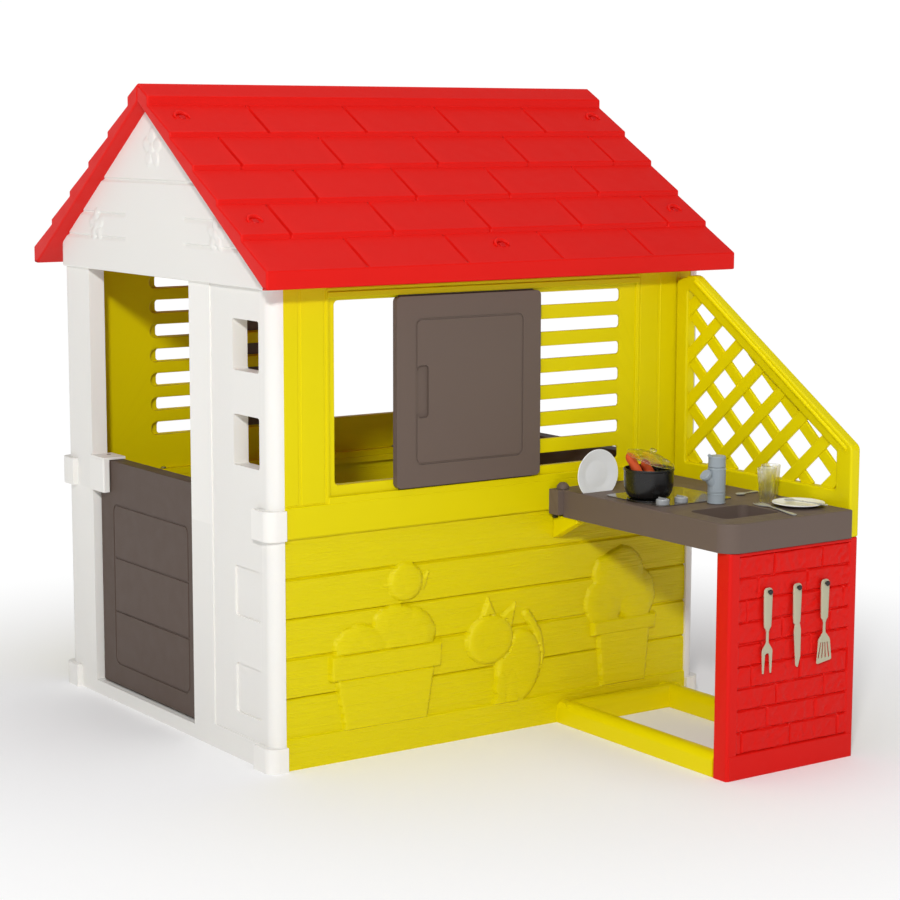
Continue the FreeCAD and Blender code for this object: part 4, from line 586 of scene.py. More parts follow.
def cat(u, v, height):
    """A sitting cat, seen from the side, with its head turned."""
    tail = [(96, 108), (108, 150), (100, 190), (84, 216), (72, 232)]
    height = raise_shape(height, to_path(u, v, tail) - 9.0, 5.6, 7.0, level=1.0)
    height = raise_shape(height, disc(u, v, 52, 128, 54, 74, -14), 7.0, 14.0, level=1.0, crown=1.2)
    for leg in (8, 36):
        height = raise_shape(height, disc(u, v, leg, 92, 13, 36), 1.8, 7.0, level=7.0)
        height = raise_shape(height, disc(u, v, leg - 2, 64, 16, 10), 2.0, 6.0, level=7.2)
    for ear in ([(-44, 226), (-22, 278), (-2, 236)], [(4, 232), (46, 260), (34, 206)]):
        height = raise_shape(height, polygon(u, v, ear), 5.6, 6.0, level=1.2)
    height = raise_shape(height, disc(u, v, -18, 192, 56, 49, 4), 7.4, 13.0, level=1.4, crown=1.2)
    for eye in (-44, -12):
        height = raise_shape(height, disc(u, v, eye, 196, 7, 9), 1.0, 3.0, level=9.0)
    return raise_shape(height, disc(u, v, -29, 178, 5, 4), 1.2, 3.0, level=9.2)


def flower(u, v, height, cu, cv, size):
    """A plain five-petalled flower with a round middle."""
    for k in range(5):
        angle = 72 * k + 90
        pu = cu + size * 0.62 * math.cos(math.radians(angle))
        pv = cv + size * 0.62 * math.sin(math.radians(angle))
        height = raise_shape(height, disc(u, v, pu, pv, size * 0.46, size * 0.36, angle), 2.2, 7.0,
                             level=0.3)
    return raise_shape(height, disc(u, v, cu, cv, size * 0.28), 1.6, 5.0, level=2.2)


SOFT_ANGLE = math.radians(34.0)


def soften(node, width, material):
    """A copy of a CAD node with rounded edges, for pieces whose shape is already right."""
    mesh = frame["nodes"][node].data.copy()
    mesh.name = node + "_soft"
    work = bmesh.new()
    work.from_mesh(mesh)
    bmesh.ops.remove_doubles(work, verts=work.verts, dist=2e-6)
    bmesh.ops.dissolve_limit(work, angle_limit=math.radians(1.5), verts=work.verts, edges=work.edges,
                             use_dissolve_boundaries=False)
    work.to_mesh(mesh)
    work.free()
    mesh.shade_smooth()
    mesh.set_sharp_from_angle(angle=SOFT_ANGLE)
    mesh.materials.clear()
    mesh.materials.append(MATERIAL[material or SLOT_OF[node]])
    made = bpy.data.objects.new(node + "_soft", mesh)
    made.matrix_world = frame["nodes"][node].matrix_world
    bpy.context.scene.collection.objects.link(made)
    bevel = made.modifiers.new("rounded", "BEVEL")
    bevel.width = width / 1000
    bevel.segments = 2
    bevel.limit_method = "ANGLE"
    bevel.angle_limit = SOFT_ANGLE
    bevel.use_clamp_overlap = True
    bevel.harden_normals = False
    bevel.miter_outer = "MITER_ARC"
    made.modifiers.new("normals", "WEIGHTED_NORMAL").keep_sharp = True
    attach(made, BODY_OF[node])
    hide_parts(node)


# ---------------------------------------------------------------- walls of the long sides

WALL_LOW, WALL_HIGH = cad("right_lower_wall")
UPPER_LOW, UPPER_HIGH = cad("right_upper_wall")
SEAM = UPPER_LOW[2]
PLINTH_FACE = WALL_HIGH[0]
BOARD_FACE = PLINTH_FACE - 4.0
PLINTH_TOP = 60.0
FLANGE = 16.0
FLANGE_TALL = 14.0
WALL_BACK = WALL_LOW[0] + FLANGE
WALL_END = WALL_HIGH[1]
MOST_RELIEF = 11.0
BOARD_HEIGHTS = [PLINTH_TOP + (SEAM - PLINTH_TOP) * k / 5 for k in range(1, 5)]


def board_relief(y, z):
    """Height of the board face over its plane, with the plinth, the pots, the bird and the cat."""
    height = 2.0 * wood_grain(y, z) - 0.7
    for line in BOARD_HEIGHTS:
        height = height + groove(z - line, 6.0, 6.0)
    height = planter(y, z, height, -373, -150, PLINTH_TOP - 8, 157, 205,
                     ((-316, 212, 62, 46), (-212, 222, 64, 56), (-238, 246, 54, 44)), 11)
    height = bird(y, z, height)
    height = cat(y, z, height)
    height = planter(y, z, height, 250, 386, PLINTH_TOP - 8, 166, 196,
                     ((268, 232, 48, 54), (350, 238, 50, 56), (308, 280, 64, 62), (276, 292, 36, 36)), 31)
    plinth = 4.0 + 0.4 * lattice_noise(y, z * 2, 40.0, 3)
    return np.where(z < PLINTH_TOP, plinth, height)


def inside_boards(y, z):
    """The inside of the lower wall shows the same boards from behind."""
    height = -0.8 * wood_grain(y + 31, z)
    for line in BOARD_HEIGHTS:
        height = height - groove(z - line, 7.0, 2.0)
    return height


def lower_side_wall():
    """Lower wall of the kitchen side: relief outside, boards inside, and its flange at the seam."""
    round_off = 2.0
    ys = spread(-WALL_END, WALL_END, 3.0, (-WALL_END + round_off, WALL_END - round_off))
    zs = spread(WALL_LOW[2], SEAM, 2.4, (PLINTH_TOP - 1.2, PLINTH_TOP + 1.2, SEAM - 2, SEAM - 0.8))

    def outside(y, z):
        ease = np.clip((SEAM - z) / 2.0, 0, 1)
        return BOARD_FACE + np.minimum(board_relief(y, z), MOST_RELIEF) - 1.6 * (1 - quarter_round(ease))

    wall = sheet_solid(PLANES["x"], ys, zs, outside, lambda y, z: WALL_BACK + inside_boards(y, z))
    ledge_end = WALL_END - 2 * FLANGE
    wall.join(block(WALL_LOW[0], WALL_BACK + 3, -ledge_end, ledge_end, SEAM - FLANGE_TALL, SEAM))
    return wall


# Start and end along the wall, then foot and head.
WINDOW = (-371.0, -53.0, 529.0, 873.0)
TRACK = (-383.0, 342.0, 504.0, 883.0)
# Start, end and head of the louvres, their pitch, the height of a slot, and their number.
LOUVRES = (12.0, 302.0, 869.0, 53.0, 25.0, 7)
TRACK_DEPTH = 4.0
RIM_THICKNESS = 6.0
BAND_TOP = SEAM + 60
BAND_FACE = UPPER_HIGH[0]
SIDE_PLANE = BAND_FACE - 4.0


def upper_side_wall():
    """Upper wall of the kitchen side: window, louvres, shutter track, bands and ribs."""
    top = UPPER_HIGH[2] - 18.6
    window = rectangle(*WINDOW, 9.0)
    start, end, head, pitch, tall, count = LOUVRES
    heads = [head - pitch * k for k in range(count)]
    slots = [rectangle(start, end, h - tall, h, 7.0) for h in heads]
    # The wall is thin round the slots, so that a slanting look still passes through them.
    dished = [rectangle(start - 20, end + 20, h - tall - 1.5, h + 1.5, 13.0) for h in heads]
    floor_of_track = SIDE_PLANE - TRACK_DEPTH
    whole = rectangle(-WALL_END, WALL_END, SEAM, top, 1.0)
    skin = floor_of_track - RIM_THICKNESS
    wall = plate("x", whole, WALL_BACK, skin + 0.5, [window] + dished, edge=0.0, low_edge=3.0)
    wall.join(plate("x", whole, skin, floor_of_track, [window] + slots, edge=1.8, low_edge=1.4))

    def lay(loop, sunk, face, edge=1.6, holes=()):
        wall.join(plate("x", loop, sunk, face, holes, edge, low_edge=0))

    t0, t1, _, thigh = TRACK
    lay(whole, floor_of_track - 3, SIDE_PLANE, holes=[rectangle(*TRACK, 5.0)])
    # A raised line frames the track on three sides.
    lay(rectangle(t0 - 9, t1 + 9, SEAM + 40, thigh + 14, 8.0), SIDE_PLANE - 2, SIDE_PLANE + 1.6, 1.2,
        [rectangle(t0 - 3, t1 + 3, SEAM + 46, thigh + 8, 5.0)])
    lay(rectangle(-WALL_END, WALL_END, SEAM, BAND_TOP, 2.0), SIDE_PLANE - 3, BAND_FACE, 2.4)
    # The shutter runs between a rail under the track and one over it.
    for low_z, high_z in ((BAND_TOP - 1.5, BAND_TOP + 12), (878.0, 890.0)):
        lay(rectangle(t0 - 6, t1 + 6, low_z, high_z, 2.0), SIDE_PLANE - 1, BAND_FACE)
    # Flat-topped ribs beyond the louvres leave upright lines between them.
    for a, b in ((352, 397), (403, 446), (452, WALL_END), (-WALL_END, -452), (-446, -396)):
        lay(rectangle(a, b, BAND_TOP + 2, top - 2, 4.0), SIDE_PLANE - 2, SIDE_PLANE + 1.4)
    ledge_end = WALL_END - 2 * FLANGE
    wall.join(block(UPPER_LOW[0], WALL_BACK + 3, -ledge_end, ledge_end, SEAM, SEAM + FLANGE_TALL))
    return wall


# ---------------------------------------------------------------- roof

EAVE, VERGE, RIDGE = cad("right_roof_half")[1]
TILE_ROWS = 5
TILE_STEP = 10.0
TILE_PITCH = 223.0
JOINT_WIDTH, JOINT_DEPTH = 7.5, 8.5
CAP_HALF = 43.0
CAP_FALL = 24.0
CAP_STEP = 17.0
FASCIA = 24.0
FASCIA_THICK = 12.0
UNDER_APEX = RIDGE - 34.0
UNDER_SLOPE = (UNDER_APEX - 906.0 - 27.6) / 432.0


def under_roof(x):
    """Height of the roof's underside."""
    return UNDER_APEX - UNDER_SLOPE * abs(x)


def roof_section():
    """Rounded outline of the right half, and the tile row of each of its points (-1 for none)."""
    run = (EAVE - CAP_HALF) / TILE_ROWS
    foot = RIDGE - CAP_FALL - CAP_STEP
    eave_top = UNDER_APEX - UNDER_SLOPE * EAVE + 33.0
    fall = (foot - eave_top) / TILE_ROWS
    corners = [(0, RIDGE, 0), (CAP_HALF, RIDGE - CAP_FALL, 5)]
    for row in range(TILE_ROWS):
        x, z = CAP_HALF + run * row, foot - fall * row
        corners += [(x, z, 1.2), (x + run, z - fall + TILE_STEP, 4.2)]
    inside = EAVE - FASCIA_THICK
    corners += [(EAVE, eave_top - FASCIA, 3), (inside, eave_top - FASCIA, 3), (inside, under_roof(inside), 3),
                (0, UNDER_APEX, 0)]
    loop = rounded([c[:2] for c in corners], [c[2] for c in corners], 4)
    rows = [max([k for k in range(TILE_ROWS) if z > under_roof(x) + 20
                 and CAP_HALF + run * k + 1.6 <= x <= CAP_HALF + run * (k + 1)], default=-1)
            for x, z in loop]
    return loop, rows, (run, fall, foot)


def joint_places(row):
    """Where a row's joints lie along the ridge; every other row is shifted by half a tile."""
    if row % 2 == 0:
        return [TILE_PITCH * (k + 0.5) for k in (-2, -1, 0, 1)]
    return [TILE_PITCH * k for k in (-2, -1, 0, 1, 2)]


def roof_half_shape():
    """The right half of the roof: a section swept from verge to verge, with the joints sunk in."""
    coarse, coarse_rows, (run, fall, _) = roof_section()
    # Extra points along each tile let the skin be a little uneven.
    loop, rows = [], []
    for i, row in enumerate(coarse_rows):
        after = (i + 1) % len(coarse)
        a, b = Vector(coarse[i]), Vector(coarse[after])
        loop.append(coarse[i])
        rows.append(row)
        if (b - a).length > 30:
            loop += [tuple(a.lerp(b, t)) for t in (0.25, 0.5, 0.75)]
            rows += [row if row >= 0 else coarse_rows[after]] * 3
    marks = [y + d for row in (0, 1) for y in joint_places(row) for d in (-3.6, -2.4, -1.4, 0.0, 1.4, 2.4, 3.6)]
    # Each station is a place along the ridge and how far the section is drawn in there.
    end = [(VERGE, 4.0), (VERGE - 0.6, 1.9), (VERGE - 1.8, 0.7)]
    stations = [(-y, back) for y, back in end] + [(y, 0.0) for y in spread(-VERGE + 4, VERGE - 4, 24.0, marks)]
    stations += end[::-1]
    slope = Vector((run, -fall + TILE_STEP)).normalized()
    normal = Vector((-slope.y, slope.x))
    anticlockwise = signed_area(loop) > 0
    rings = []
    for y, back in stations:
        ring = inset(loop, back if anticlockwise else -back)
        # The ridge side stays on the middle plane, where the two halves meet.
        ring = [(max(0.0, x), z) for x, z in ring]
        points = []
        for (x, z), row in zip(ring, rows):
            if row >= 0 and back == 0 and x < EAVE - 5:
                near = min(joint_places(row), key=lambda p: abs(p - y))
                sink = float(groove(np.array(y - near), JOINT_WIDTH, JOINT_DEPTH))
                sink += 0.5 * float(lattice_noise(np.array(y), np.array(x), 60.0, 17 + row))
                x, z = x + normal.x * sink, z + normal.y * sink
            points.append((x, y, z))
        rings.append(points)
    return loft(rings)


# Distance from the ridge, and the end of the roof: near, far or in between.
SCREW_PLACES = ((85, -1), (85, 1), (361, -1), (361, 1), (440, 0))


def screw_marks():
    """A raised crescent on the upper side of each roof screw."""
    shape = Shape()
    _, _, (run, fall, foot) = roof_section()
    tilt = fall / run
    up = Vector((-1, 0, tilt)).normalized()
    across = Vector((0, 1, 0))
    out = across.cross(up)
    angles = [math.radians(-105 + 210 * k / 14) for k in range(15)]
    radii = [0.8 + 4.2 * math.cos(a * 0.85) ** 0.7 if abs(a * 0.85) < math.pi / 2 else 0.8 for a in angles]
    for x, side in SCREW_PLACES:
        middle = Vector((x, side * (VERGE - 52.0), foot - tilt * (x - CAP_HALF) + TILE_STEP / 2))
        path = [middle + (up * math.cos(a) + across * math.sin(a)) * 15.0 + out for a in angles]
        shape.join(tube(path, radii, 12))
    return shape


# ---------------------------------------------------------------- gables

GABLE_LOW, GABLE_HIGH = cad("front_gable")
GABLE_FACE = -GABLE_LOW[1]
GABLE_BACK = -GABLE_HIGH[1]
GABLE_FOOT = GABLE_LOW[2]
WALL_HEAD = GABLE_FOOT + 8.0
BOARD_LINES = (966.0, 1014.0)
TOP_LINE = 1083.0
# Across, up, and size of the flowers.
FLOWERS = ((0.0, 1146.0, 36.0), (-250.0, 990.0, 30.0), (250.0, 990.0, 30.0))
GABLE_HALF = GABLE_HIGH[0]
GABLE_PEAK = GABLE_HIGH[2]
GABLE_ROUND = 24.0


def gable_shape():
    """The front gable: boards, a smooth middle field, and plain flowers."""
    def half_width(z):
        return np.minimum(GABLE_HALF, np.maximum(0.5, (GABLE_PEAK - z) / UNDER_SLOPE))

    ss = spread(-1.0, 1.0, 0.0075, [s * (1 - d / GABLE_HALF) for s in (-1, 1) for d in (6, 14, 2)])
    zs = spread(GABLE_FOOT, GABLE_PEAK - 1, 3.0,
                (GABLE_FOOT + 1.0, GABLE_FOOT + 2.5, WALL_HEAD - 0.2, WALL_HEAD + 0.2, GABLE_HIGH[2] - 302))

    def face(s, z):
        x = s * half_width(z)
        height = 0.25 * wood_grain(x, z) - 0.2
        # The two lower grooves stop at a smooth oval field in the middle.
        field = np.clip(1.0 - disc(x / 2.1, z, 0.0, 990.0, 62.0) / 4.0, 0, 1) * (z < TOP_LINE - 3)
        for line in BOARD_LINES:
            height = height + groove(z - line, 7.0, 3.4) * (1 - field)
        height = height + groove(z - TOP_LINE, 8.0, 4.4)
        for place in FLOWERS:
            height = flower(x, z, height, *place)
        edge = np.clip((np.abs(x) - (GABLE_HALF - GABLE_ROUND)) / GABLE_ROUND, 0, 1)
        foot = np.clip((GABLE_FOOT + 3 - z) / 3, 0, 1)
        return (GABLE_FACE + np.minimum(height, 4.2) - GABLE_ROUND * (1 - np.sqrt(1 - edge ** 2))
                - 2.0 * (1 - np.sqrt(1 - foot ** 2)))

    def back(s, z):
        return np.where(z < WALL_HEAD, GABLE_FACE - 8.0 - (np.abs(s * half_width(z)) > GABLE_HALF - 8) * 14.0,
                        GABLE_BACK)

    def to_space(s, z, w):
        return s * half_width(z), -w, z

    return sheet_solid(to_space, ss, zs, face, lambda s, z: np.minimum(back(s, z), face(s, z) - 1.0))


# ---------------------------------------------------------------- kitchen end panel and trellis

PANEL_LOW, PANEL_HIGH = cad("kitchen_side_panel")
PANEL_FACE = PANEL_HIGH[0]
PANEL_TOP = cad("worktop")[0][2] - 1.0
EDGE_ROUND = 6.0
BRICK_FOOT = 47.0
BRICK_ROWS = 9
BRICK_LENGTH = 121.0
# How far each row of bricks is shifted along the panel.
BRICK_SHIFTS = (12.0, 74.0, 96.0, 33.0, 60.0, 108.0, 20.0, 47.0, 85.0, 12.0)


def brick_panel():
    """End panel: rough bricks inside a plain border, over a plinth band."""
    y0, y1 = PANEL_LOW[1], PANEL_HIGH[1]
    f0, f1 = y0 + 24, y1 - 20
    foot, head = BRICK_FOOT, PANEL_TOP - 7
    course = (head - foot) / BRICK_ROWS
    length = BRICK_LENGTH
    offsets = np.array(BRICK_SHIFTS)
    near_edge = np.array([0.0, 0.8, 2.2, 4.0])
    ys = spread(y0 + EDGE_ROUND, y1 - EDGE_ROUND, 1.7, (f0 - 1, f0 + 1, f1 - 1, f1 + 1))
    ys = np.concatenate([y0 + near_edge, ys, y1 - near_edge[::-1]])
    zs = spread(PANEL_LOW[2], PANEL_TOP, 1.9, (foot - 0.8, foot + 0.8, head - 0.8, head + 0.8, 1.5, PANEL_TOP - 1.5))

    def rim(y):
        """How far the face lies back at the rounded upright edges."""
        return EDGE_ROUND * (1 - quarter_round(np.clip(np.minimum(y - y0, y1 - y) / EDGE_ROUND, 0, 1)))

    def outside(y, z):
        row = np.floor((z - foot) / course)
        in_row = (z - foot) - row * course
        shift = offsets[np.clip(row, 0, BRICK_ROWS).astype(int)] - length
        column = np.floor((y - f0 - shift) / length)
        in_brick = (y - f0 - shift) - column * length
        gap_z = np.minimum(in_row, course - in_row)
        gap_y = np.minimum(in_brick, length - in_brick)
        wander = 0.9 * lattice_noise(y, z, 15.0, 41)
        gap = np.minimum(gap_z, gap_y) + wander - 1.3
        t = np.clip(gap / 2.6, 0, 1)
        crown = -4.2 + 4.2 * quarter_round(t)
        tone = np.random.RandomState(5).uniform(-0.5, 0.5, (16, 16))
        lift = tone[row.astype(int) % 16, column.astype(int) % 16]
        facets = np.abs(lattice_noise(y + 0.4 * z, z - 0.5 * y, 21.0, 42))
        rough = 1.7 * facets + 0.6 * lattice_noise(y, z, 8.0, 43) - 0.8
        pits = -2.4 * np.clip(np.abs(lattice_noise(y - z, z + 0.6 * y, 15.0, 44)) - 0.5, 0, 1)
        bricks = crown + (lift + rough + pits) * t - 0.6
        field = np.minimum(np.minimum(y - f0, f1 - y), np.minimum(z - foot, head - z))
        height = np.where(field > 0, np.minimum(bricks, 0.4), 0.0)
        top = 1.6 * (1 - quarter_round(np.clip((PANEL_TOP - z) / 2.0, 0, 1)))
        return PANEL_FACE - 0.4 + np.minimum(height, 0.4) - rim(y) - top

    shape = sheet_solid(PLANES["x"], ys, zs, outside, lambda y, z: PANEL_LOW[0] + rim(y))
    # The panel's tongue reaches up into the worktop.
    far = cad("worktop")[1][1]
    shape.join(block(PANEL_LOW[0] + 4, PANEL_FACE - 4, y0 + 12, far - 12, PANEL_TOP - 3, PANEL_HIGH[2], 1.0))
    # The plinth band stands a little higher than the brick field.
    shape.join(plate("x", rectangle(y0 + 5, y1 - 5, 1.5, foot - 1, 3.0), PANEL_FACE - 3, PANEL_FACE + 0.8,
                     edge=1.2, low_edge=0))
    return shape


STRIP_WIDTH, STRIP_THICKNESS = 25.0, 7.5
# Distance of the strips along the panel, and how much one strip rises over that distance.
STRIP_PITCH, STRIP_RISE = 109.0, 95.0


def trellis():
    """Trellis panel: a frame with two crossed layers of strips."""
    (near, y_near, foot), (far, y_far, head) = cad("kitchen_lattice_panel")
    y_mid, half = (y_near + y_far) / 2, (y_far - y_near) / 2
    far_head = head - 297.0
    peak = near + 50.0
    slope = (head - far_head) / (far - peak)
    stile = 34.0
    rail = stile * math.hypot(1, slope)
    inner_near, inner_far = near + stile, far - stile - 8
    rail_top = foot + 86.0
    outline = rounded([(near, foot), (far, foot), (far, far_head), (peak, head), (near, head - 13)],
                      [2, 3, 16, 30, 8])
    head_far = far_head + slope * (far - inner_far) - rail
    head_near = head + slope * (peak - inner_near) - rail
    field = rounded([(inner_near, rail_top), (inner_far, rail_top), (inner_far, head_far),
                     (inner_near, head_near)], 4.0)
    shape = plate("y", outline, -y_mid - half, -y_mid + half, [field], edge=4.5)
    # A half-round bead along the sloping rail.
    y_bead = y_mid - half + 2
    shape.join(tube([(peak + 6, y_bead, head - 14), (far - 14, y_bead, far_head - 6)], 5.0))

    # The strips end inside the frame, a little beyond the field.
    corners = [Vector(c) for c in ((inner_near - 8, rail_top - 6), (inner_far + 8, rail_top - 6),
                                   (inner_far + 8, head_far + 4), (inner_near - 8, head_near + 8))]

    def clip(origin, along):
        """The part of a line that lies inside the four corners, or None."""
        low, high = -1e9, 1e9
        for i in range(4):
            p, q = corners[i], corners[(i + 1) % 4]
            n = Vector((-(q - p).y, (q - p).x))
            over = n.dot(along)
            away = n.dot(p - origin)
            if abs(over) < 1e-9:
                if away > 0:
                    return None
                continue
            if over > 0:
                low = max(low, away / over)
            else:
                high = min(high, away / over)
        return (origin + along * low, origin + along * high) if high - low > 14 else None

    lean = Vector((STRIP_PITCH, STRIP_RISE)).normalized()
    for sign, offset in ((1, -2.6), (-1, 2.6)):
        for k in range(-12, 22):
            origin = Vector((inner_near + 50 + STRIP_PITCH * (k + 0.5), rail_top + 23))
            ends = clip(origin, Vector((lean.x, sign * lean.y)))
            if ends:
                start, end = ((x, y_mid + offset, z) for x, z in ends)
                shape.join(bar(start, end, STRIP_WIDTH, STRIP_THICKNESS, 2.2, (0, 1, 0)))
    return shape


# ---------------------------------------------------------------- floor frame and kitchen pieces

def floor_frame_shape():
    """Three bars with half-round tops."""
    (x0, y0, foot), (x1, y1, top) = cad("floor_frame")
    half, tall = 19.0, top - foot
    section = rounded([(-half, 0), (half, 0), (half, tall), (-half, tall)], [2, 2, 17, 17], 8)
    shape = Shape()
    for y in (y0 + half, y1 - half):
        shape.join(loft([[(x, y + u, v + foot) for u, v in section] for x in (x0, x1)]))
    return shape.join(loft([[(x0 + half + u, y, v + foot) for u, v in section] for y in (y0 + 1, y1 - 1)]))


def tool_on_panel(node, head):
    """A kitchen tool with a thick rounded handle; head gives its flat lower part as (loop, holes)."""
    low, high = cad(node)
    x_mid, y, _ = middle_of(node)
    top = high[2]
    # The handle is an oval that thins towards the neck: distance from the top, then half its
    # width and half its thickness there.
    rings = []
    stations = ((0.0, 4.0, 1.0), (1.2, 7.0, 2.0), (4.5, 9.8, 2.5), (14, 10.3, 2.5), (40, 9.7, 2.5),
                (64, 9.0, 2.5), (73, 8.4, 2.5), (78, 4.4, 2.2), (82, 3.0, 1.8))
    for down, wide, thick in stations:
        ring = []
        for k in range(28):
            angle = 2 * math.pi * k / 28
            c, s = math.cos(angle), math.sin(angle)
            ring.append((x_mid + thick * math.copysign(abs(s) ** 0.6, s),
                         y + wide * math.copysign(abs(c) ** 0.8, c), top - down))
        rings.append(ring)
    # A shallow ring on the handle marks the hanging hole.
    ring = lathe([(5.2, -0.5), (6.6, -0.5), (6.6, 0.5), (5.2, 0.5)], count=28)
    ring = ring.moved(lambda p: Vector((high[0] - 0.55 + p.z, y + p.x, top - 9.0 + p.y)))
    outline, holes = head(y, low[2], top - 80)
    return loft(rings).join(ring).join(plate("x", outline, x_mid - 1.3, x_mid + 1.3, holes, edge=0.9))


def fork_head(y, foot, neck):
    half = [(2.6, neck), (2.8, foot + 58), (13, foot + 44), (11.0, foot), (7.5, foot), (5.0, foot + 38)]
    corners = [(y + u, v) for u, v in half] + [(y - u, v) for u, v in half[::-1]]
    return rounded(corners, [1, 8, 8, 1.7, 1.7, 5, 5, 1.7, 1.7, 8, 8, 1], 5), []


def knife_head(y, foot, neck):
    return rounded([(y - 4.5, neck + 4), (y + 7.5, neck + 4), (y + 10.4, neck - 8), (y + 10.4, foot + 22),
                    (y + 4, foot), (y - 1, foot + 6), (y - 6.5, neck - 12)], [2, 2, 3, 12, 3, 3, 4], 5), []


def spatula_head(y, foot, neck):
    outline = rounded([(y - 2.6, neck), (y + 2.6, neck), (y + 3, foot + 60), (y + 15, foot + 46),
                       (y + 20, foot + 6), (y - 18, foot), (y - 14, foot + 46), (y - 3, foot + 60)],
                      [1, 1, 8, 8, 3, 3, 8, 8], 5)
    holes = []
    for k in (-1.5, -0.5, 0.5, 1.5):
        low, high = y + k * 9.0, y + k * 5.2
        holes.append(rounded([(low - 1.6, foot + 11), (low + 1.6, foot + 11), (high + 1.4, foot + 41),
                              (high - 1.4, foot + 41)], 1.2, 3))
    return outline, holes


def tumbler_shape(node):
    """Clear tumbler with flutes round its lower half, a thick foot and a rolled rim."""
    low, high = cad(node)
    cx, cy, _ = middle_of(node)
    tall = high[2] - low[2]
    top_r = (high[0] - low[0]) / 2
    # Each ring is its height, its radius and the depth of the flutes there.
    base_r = top_r - 5.0
    flutes = 12
    count = 96
    outer = [(0.0, base_r - 1.4, 0.0), (1.0, base_r - 0.2, 0.0), (4.0, base_r + 0.2, 0.6),
             (12.0, base_r + 1.0, 0.9), (tall * 0.52, base_r + 2.4, 0.9), (tall * 0.58, base_r + 3.0, 0.0),
             (tall - 2.0, top_r - 0.5, 0.0), (tall - 0.7, top_r, 0.0), (tall, top_r - 0.7, 0.0)]
    inner = [(tall - 0.6, top_r - 1.6, 0.0), (tall * 0.5, base_r + 0.6, 0.0), (8.0, base_r - 1.2, 0.0),
             (5.0, base_r - 3.0, 0.0)]
    rings = []
    for height, radius, flute in outer + inner:
        ring = []
        for k in range(count):
            a = 2 * math.pi * k / count
            r = radius - flute * (0.5 - 0.5 * math.cos(flutes * a))
            ring.append((cx + r * math.cos(a), cy + r * math.sin(a), low[2] + height))
        rings.append(ring)
    return loft(rings)


def dish_shape(radius, rim_height):
    """A shallow plate with a rounded rim, a raised ring and a foot, at the origin."""
    foot = radius * 0.55
    outline = [(0.0, 1.0), (foot - 3, 1.0), (foot - 1.5, 0.0), (foot, 0.0), (foot + 1.5, 0.8),
               (radius * 0.74, 2.8), (radius * 0.92, rim_height - 2.8), (radius - 0.5, rim_height - 1.5),
               (radius, rim_height - 0.8), (radius - 0.4, rim_height), (radius - 1.6, rim_height),
               (radius * 0.9, rim_height - 1.2), (radius * 0.74, 5.4), (radius * 0.70, 4.4),
               (foot + 1, 3.2), (foot - 2, 2.8), (0.0, 2.8)]
    return lathe(outline, count=96)


def pot_shape():
    """The cooking pot: a round-bottomed wall with a rolled rim, hollow inside."""
    low, high = cad("cooking_pot")
    cx, cy, _ = middle_of("cooking_pot")
    rim = (high[0] - low[0]) / 2
    tall = high[2] - low[2]
    base = rim - 16.0
    outer = [(0.0, 0.6), (base - 4, 0.6), (base - 2, 0.0), (base, 0.4)]
    for k in range(1, 11):
        t = math.pi / 2 * k / 10
        outer.append((base + (rim - 1.2 - base) * math.sin(t), 0.6 + tall * 0.55 * (1 - math.cos(t))))
    outer += [(rim - 1.1, tall * 0.8), (rim - 1.1, tall - 5.0), (rim - 0.3, tall - 4.4), (rim, tall - 3.4),
              (rim, tall - 1.0), (rim - 0.8, tall)]
    inner = [(rim - 2.2, tall), (rim - 3.0, tall - 1.0), (rim - 3.4, tall * 0.55)]
    for k in range(1, 8):
        t = math.pi / 2 * (1 - k / 8)
        inner.append((base - 2 + (rim - 3.4 - base + 2) * math.sin(t), 2.8 + tall * 0.5 * (1 - math.cos(t))))
    inner += [(base - 6, 2.8), (0.0, 2.8)]
    return lathe(outer + inner, (cx, cy, low[2]), 96)


SAUSAGE_RADIUS = 9.5
# Compass direction in which they lean out over the pot's rim, and how far out per unit of rise.
SAUSAGE_LEAN, SAUSAGE_SLANT = 215.0, 38.0 / 66.0


def sausage_shape():
    """Two plump sausages side by side, with round ends and faintly wavy sides."""
    low, high = cad("toy_sausages")
    lean = math.radians(SAUSAGE_LEAN)
    out = Vector((math.cos(lean), math.sin(lean), 0))
    across = Vector((-math.sin(lean), math.cos(lean), 0))
    radius = SAUSAGE_RADIUS
    up = high[2] - low[2] - 2 * radius
    along = out * (up * SAUSAGE_SLANT) + Vector((0, 0, up))
    shape = Shape()
    # The second one is shorter and stands further back in the pot.
    for side, shift, share in ((10.5, -3.0, 1.0), (-10.5, -19.0, 0.8)):
        middle = middle_of("toy_sausages") + across * side + out * shift - along * ((1 - share) / 2)
        reach = (along.length + 2 * radius) * share - 1.0
        path, radii = [], []
        for k in range(33):
            t = k / 32
            end = min(1.0, min(t, 1 - t) * reach / (radius * 1.2))
            path.append(middle + along.normalized() * ((t - 0.5) * reach))
            radii.append((radius - 0.4) * math.sqrt(max(0.03, 1 - (1 - end) ** 2))
                         * (1 - 0.03 * math.cos(t * 8 * math.pi)))
        shape.join(tube(path, radii, 24))
    return shape


def tap_rings(levels):
    """Shallow raised rings round the tap at the given heights over its foot."""
    cx, cy, _ = middle_of("tap_base")
    foot = cad("tap_base")[0][2]
    shape = Shape()
    for level in levels:
        shape.join(lathe([(15.5, -1.0), (17.4, -0.8), (17.8, 0.0), (17.4, 0.8), (15.5, 1.0)],
                         (cx, cy, foot + level)))
    return shape


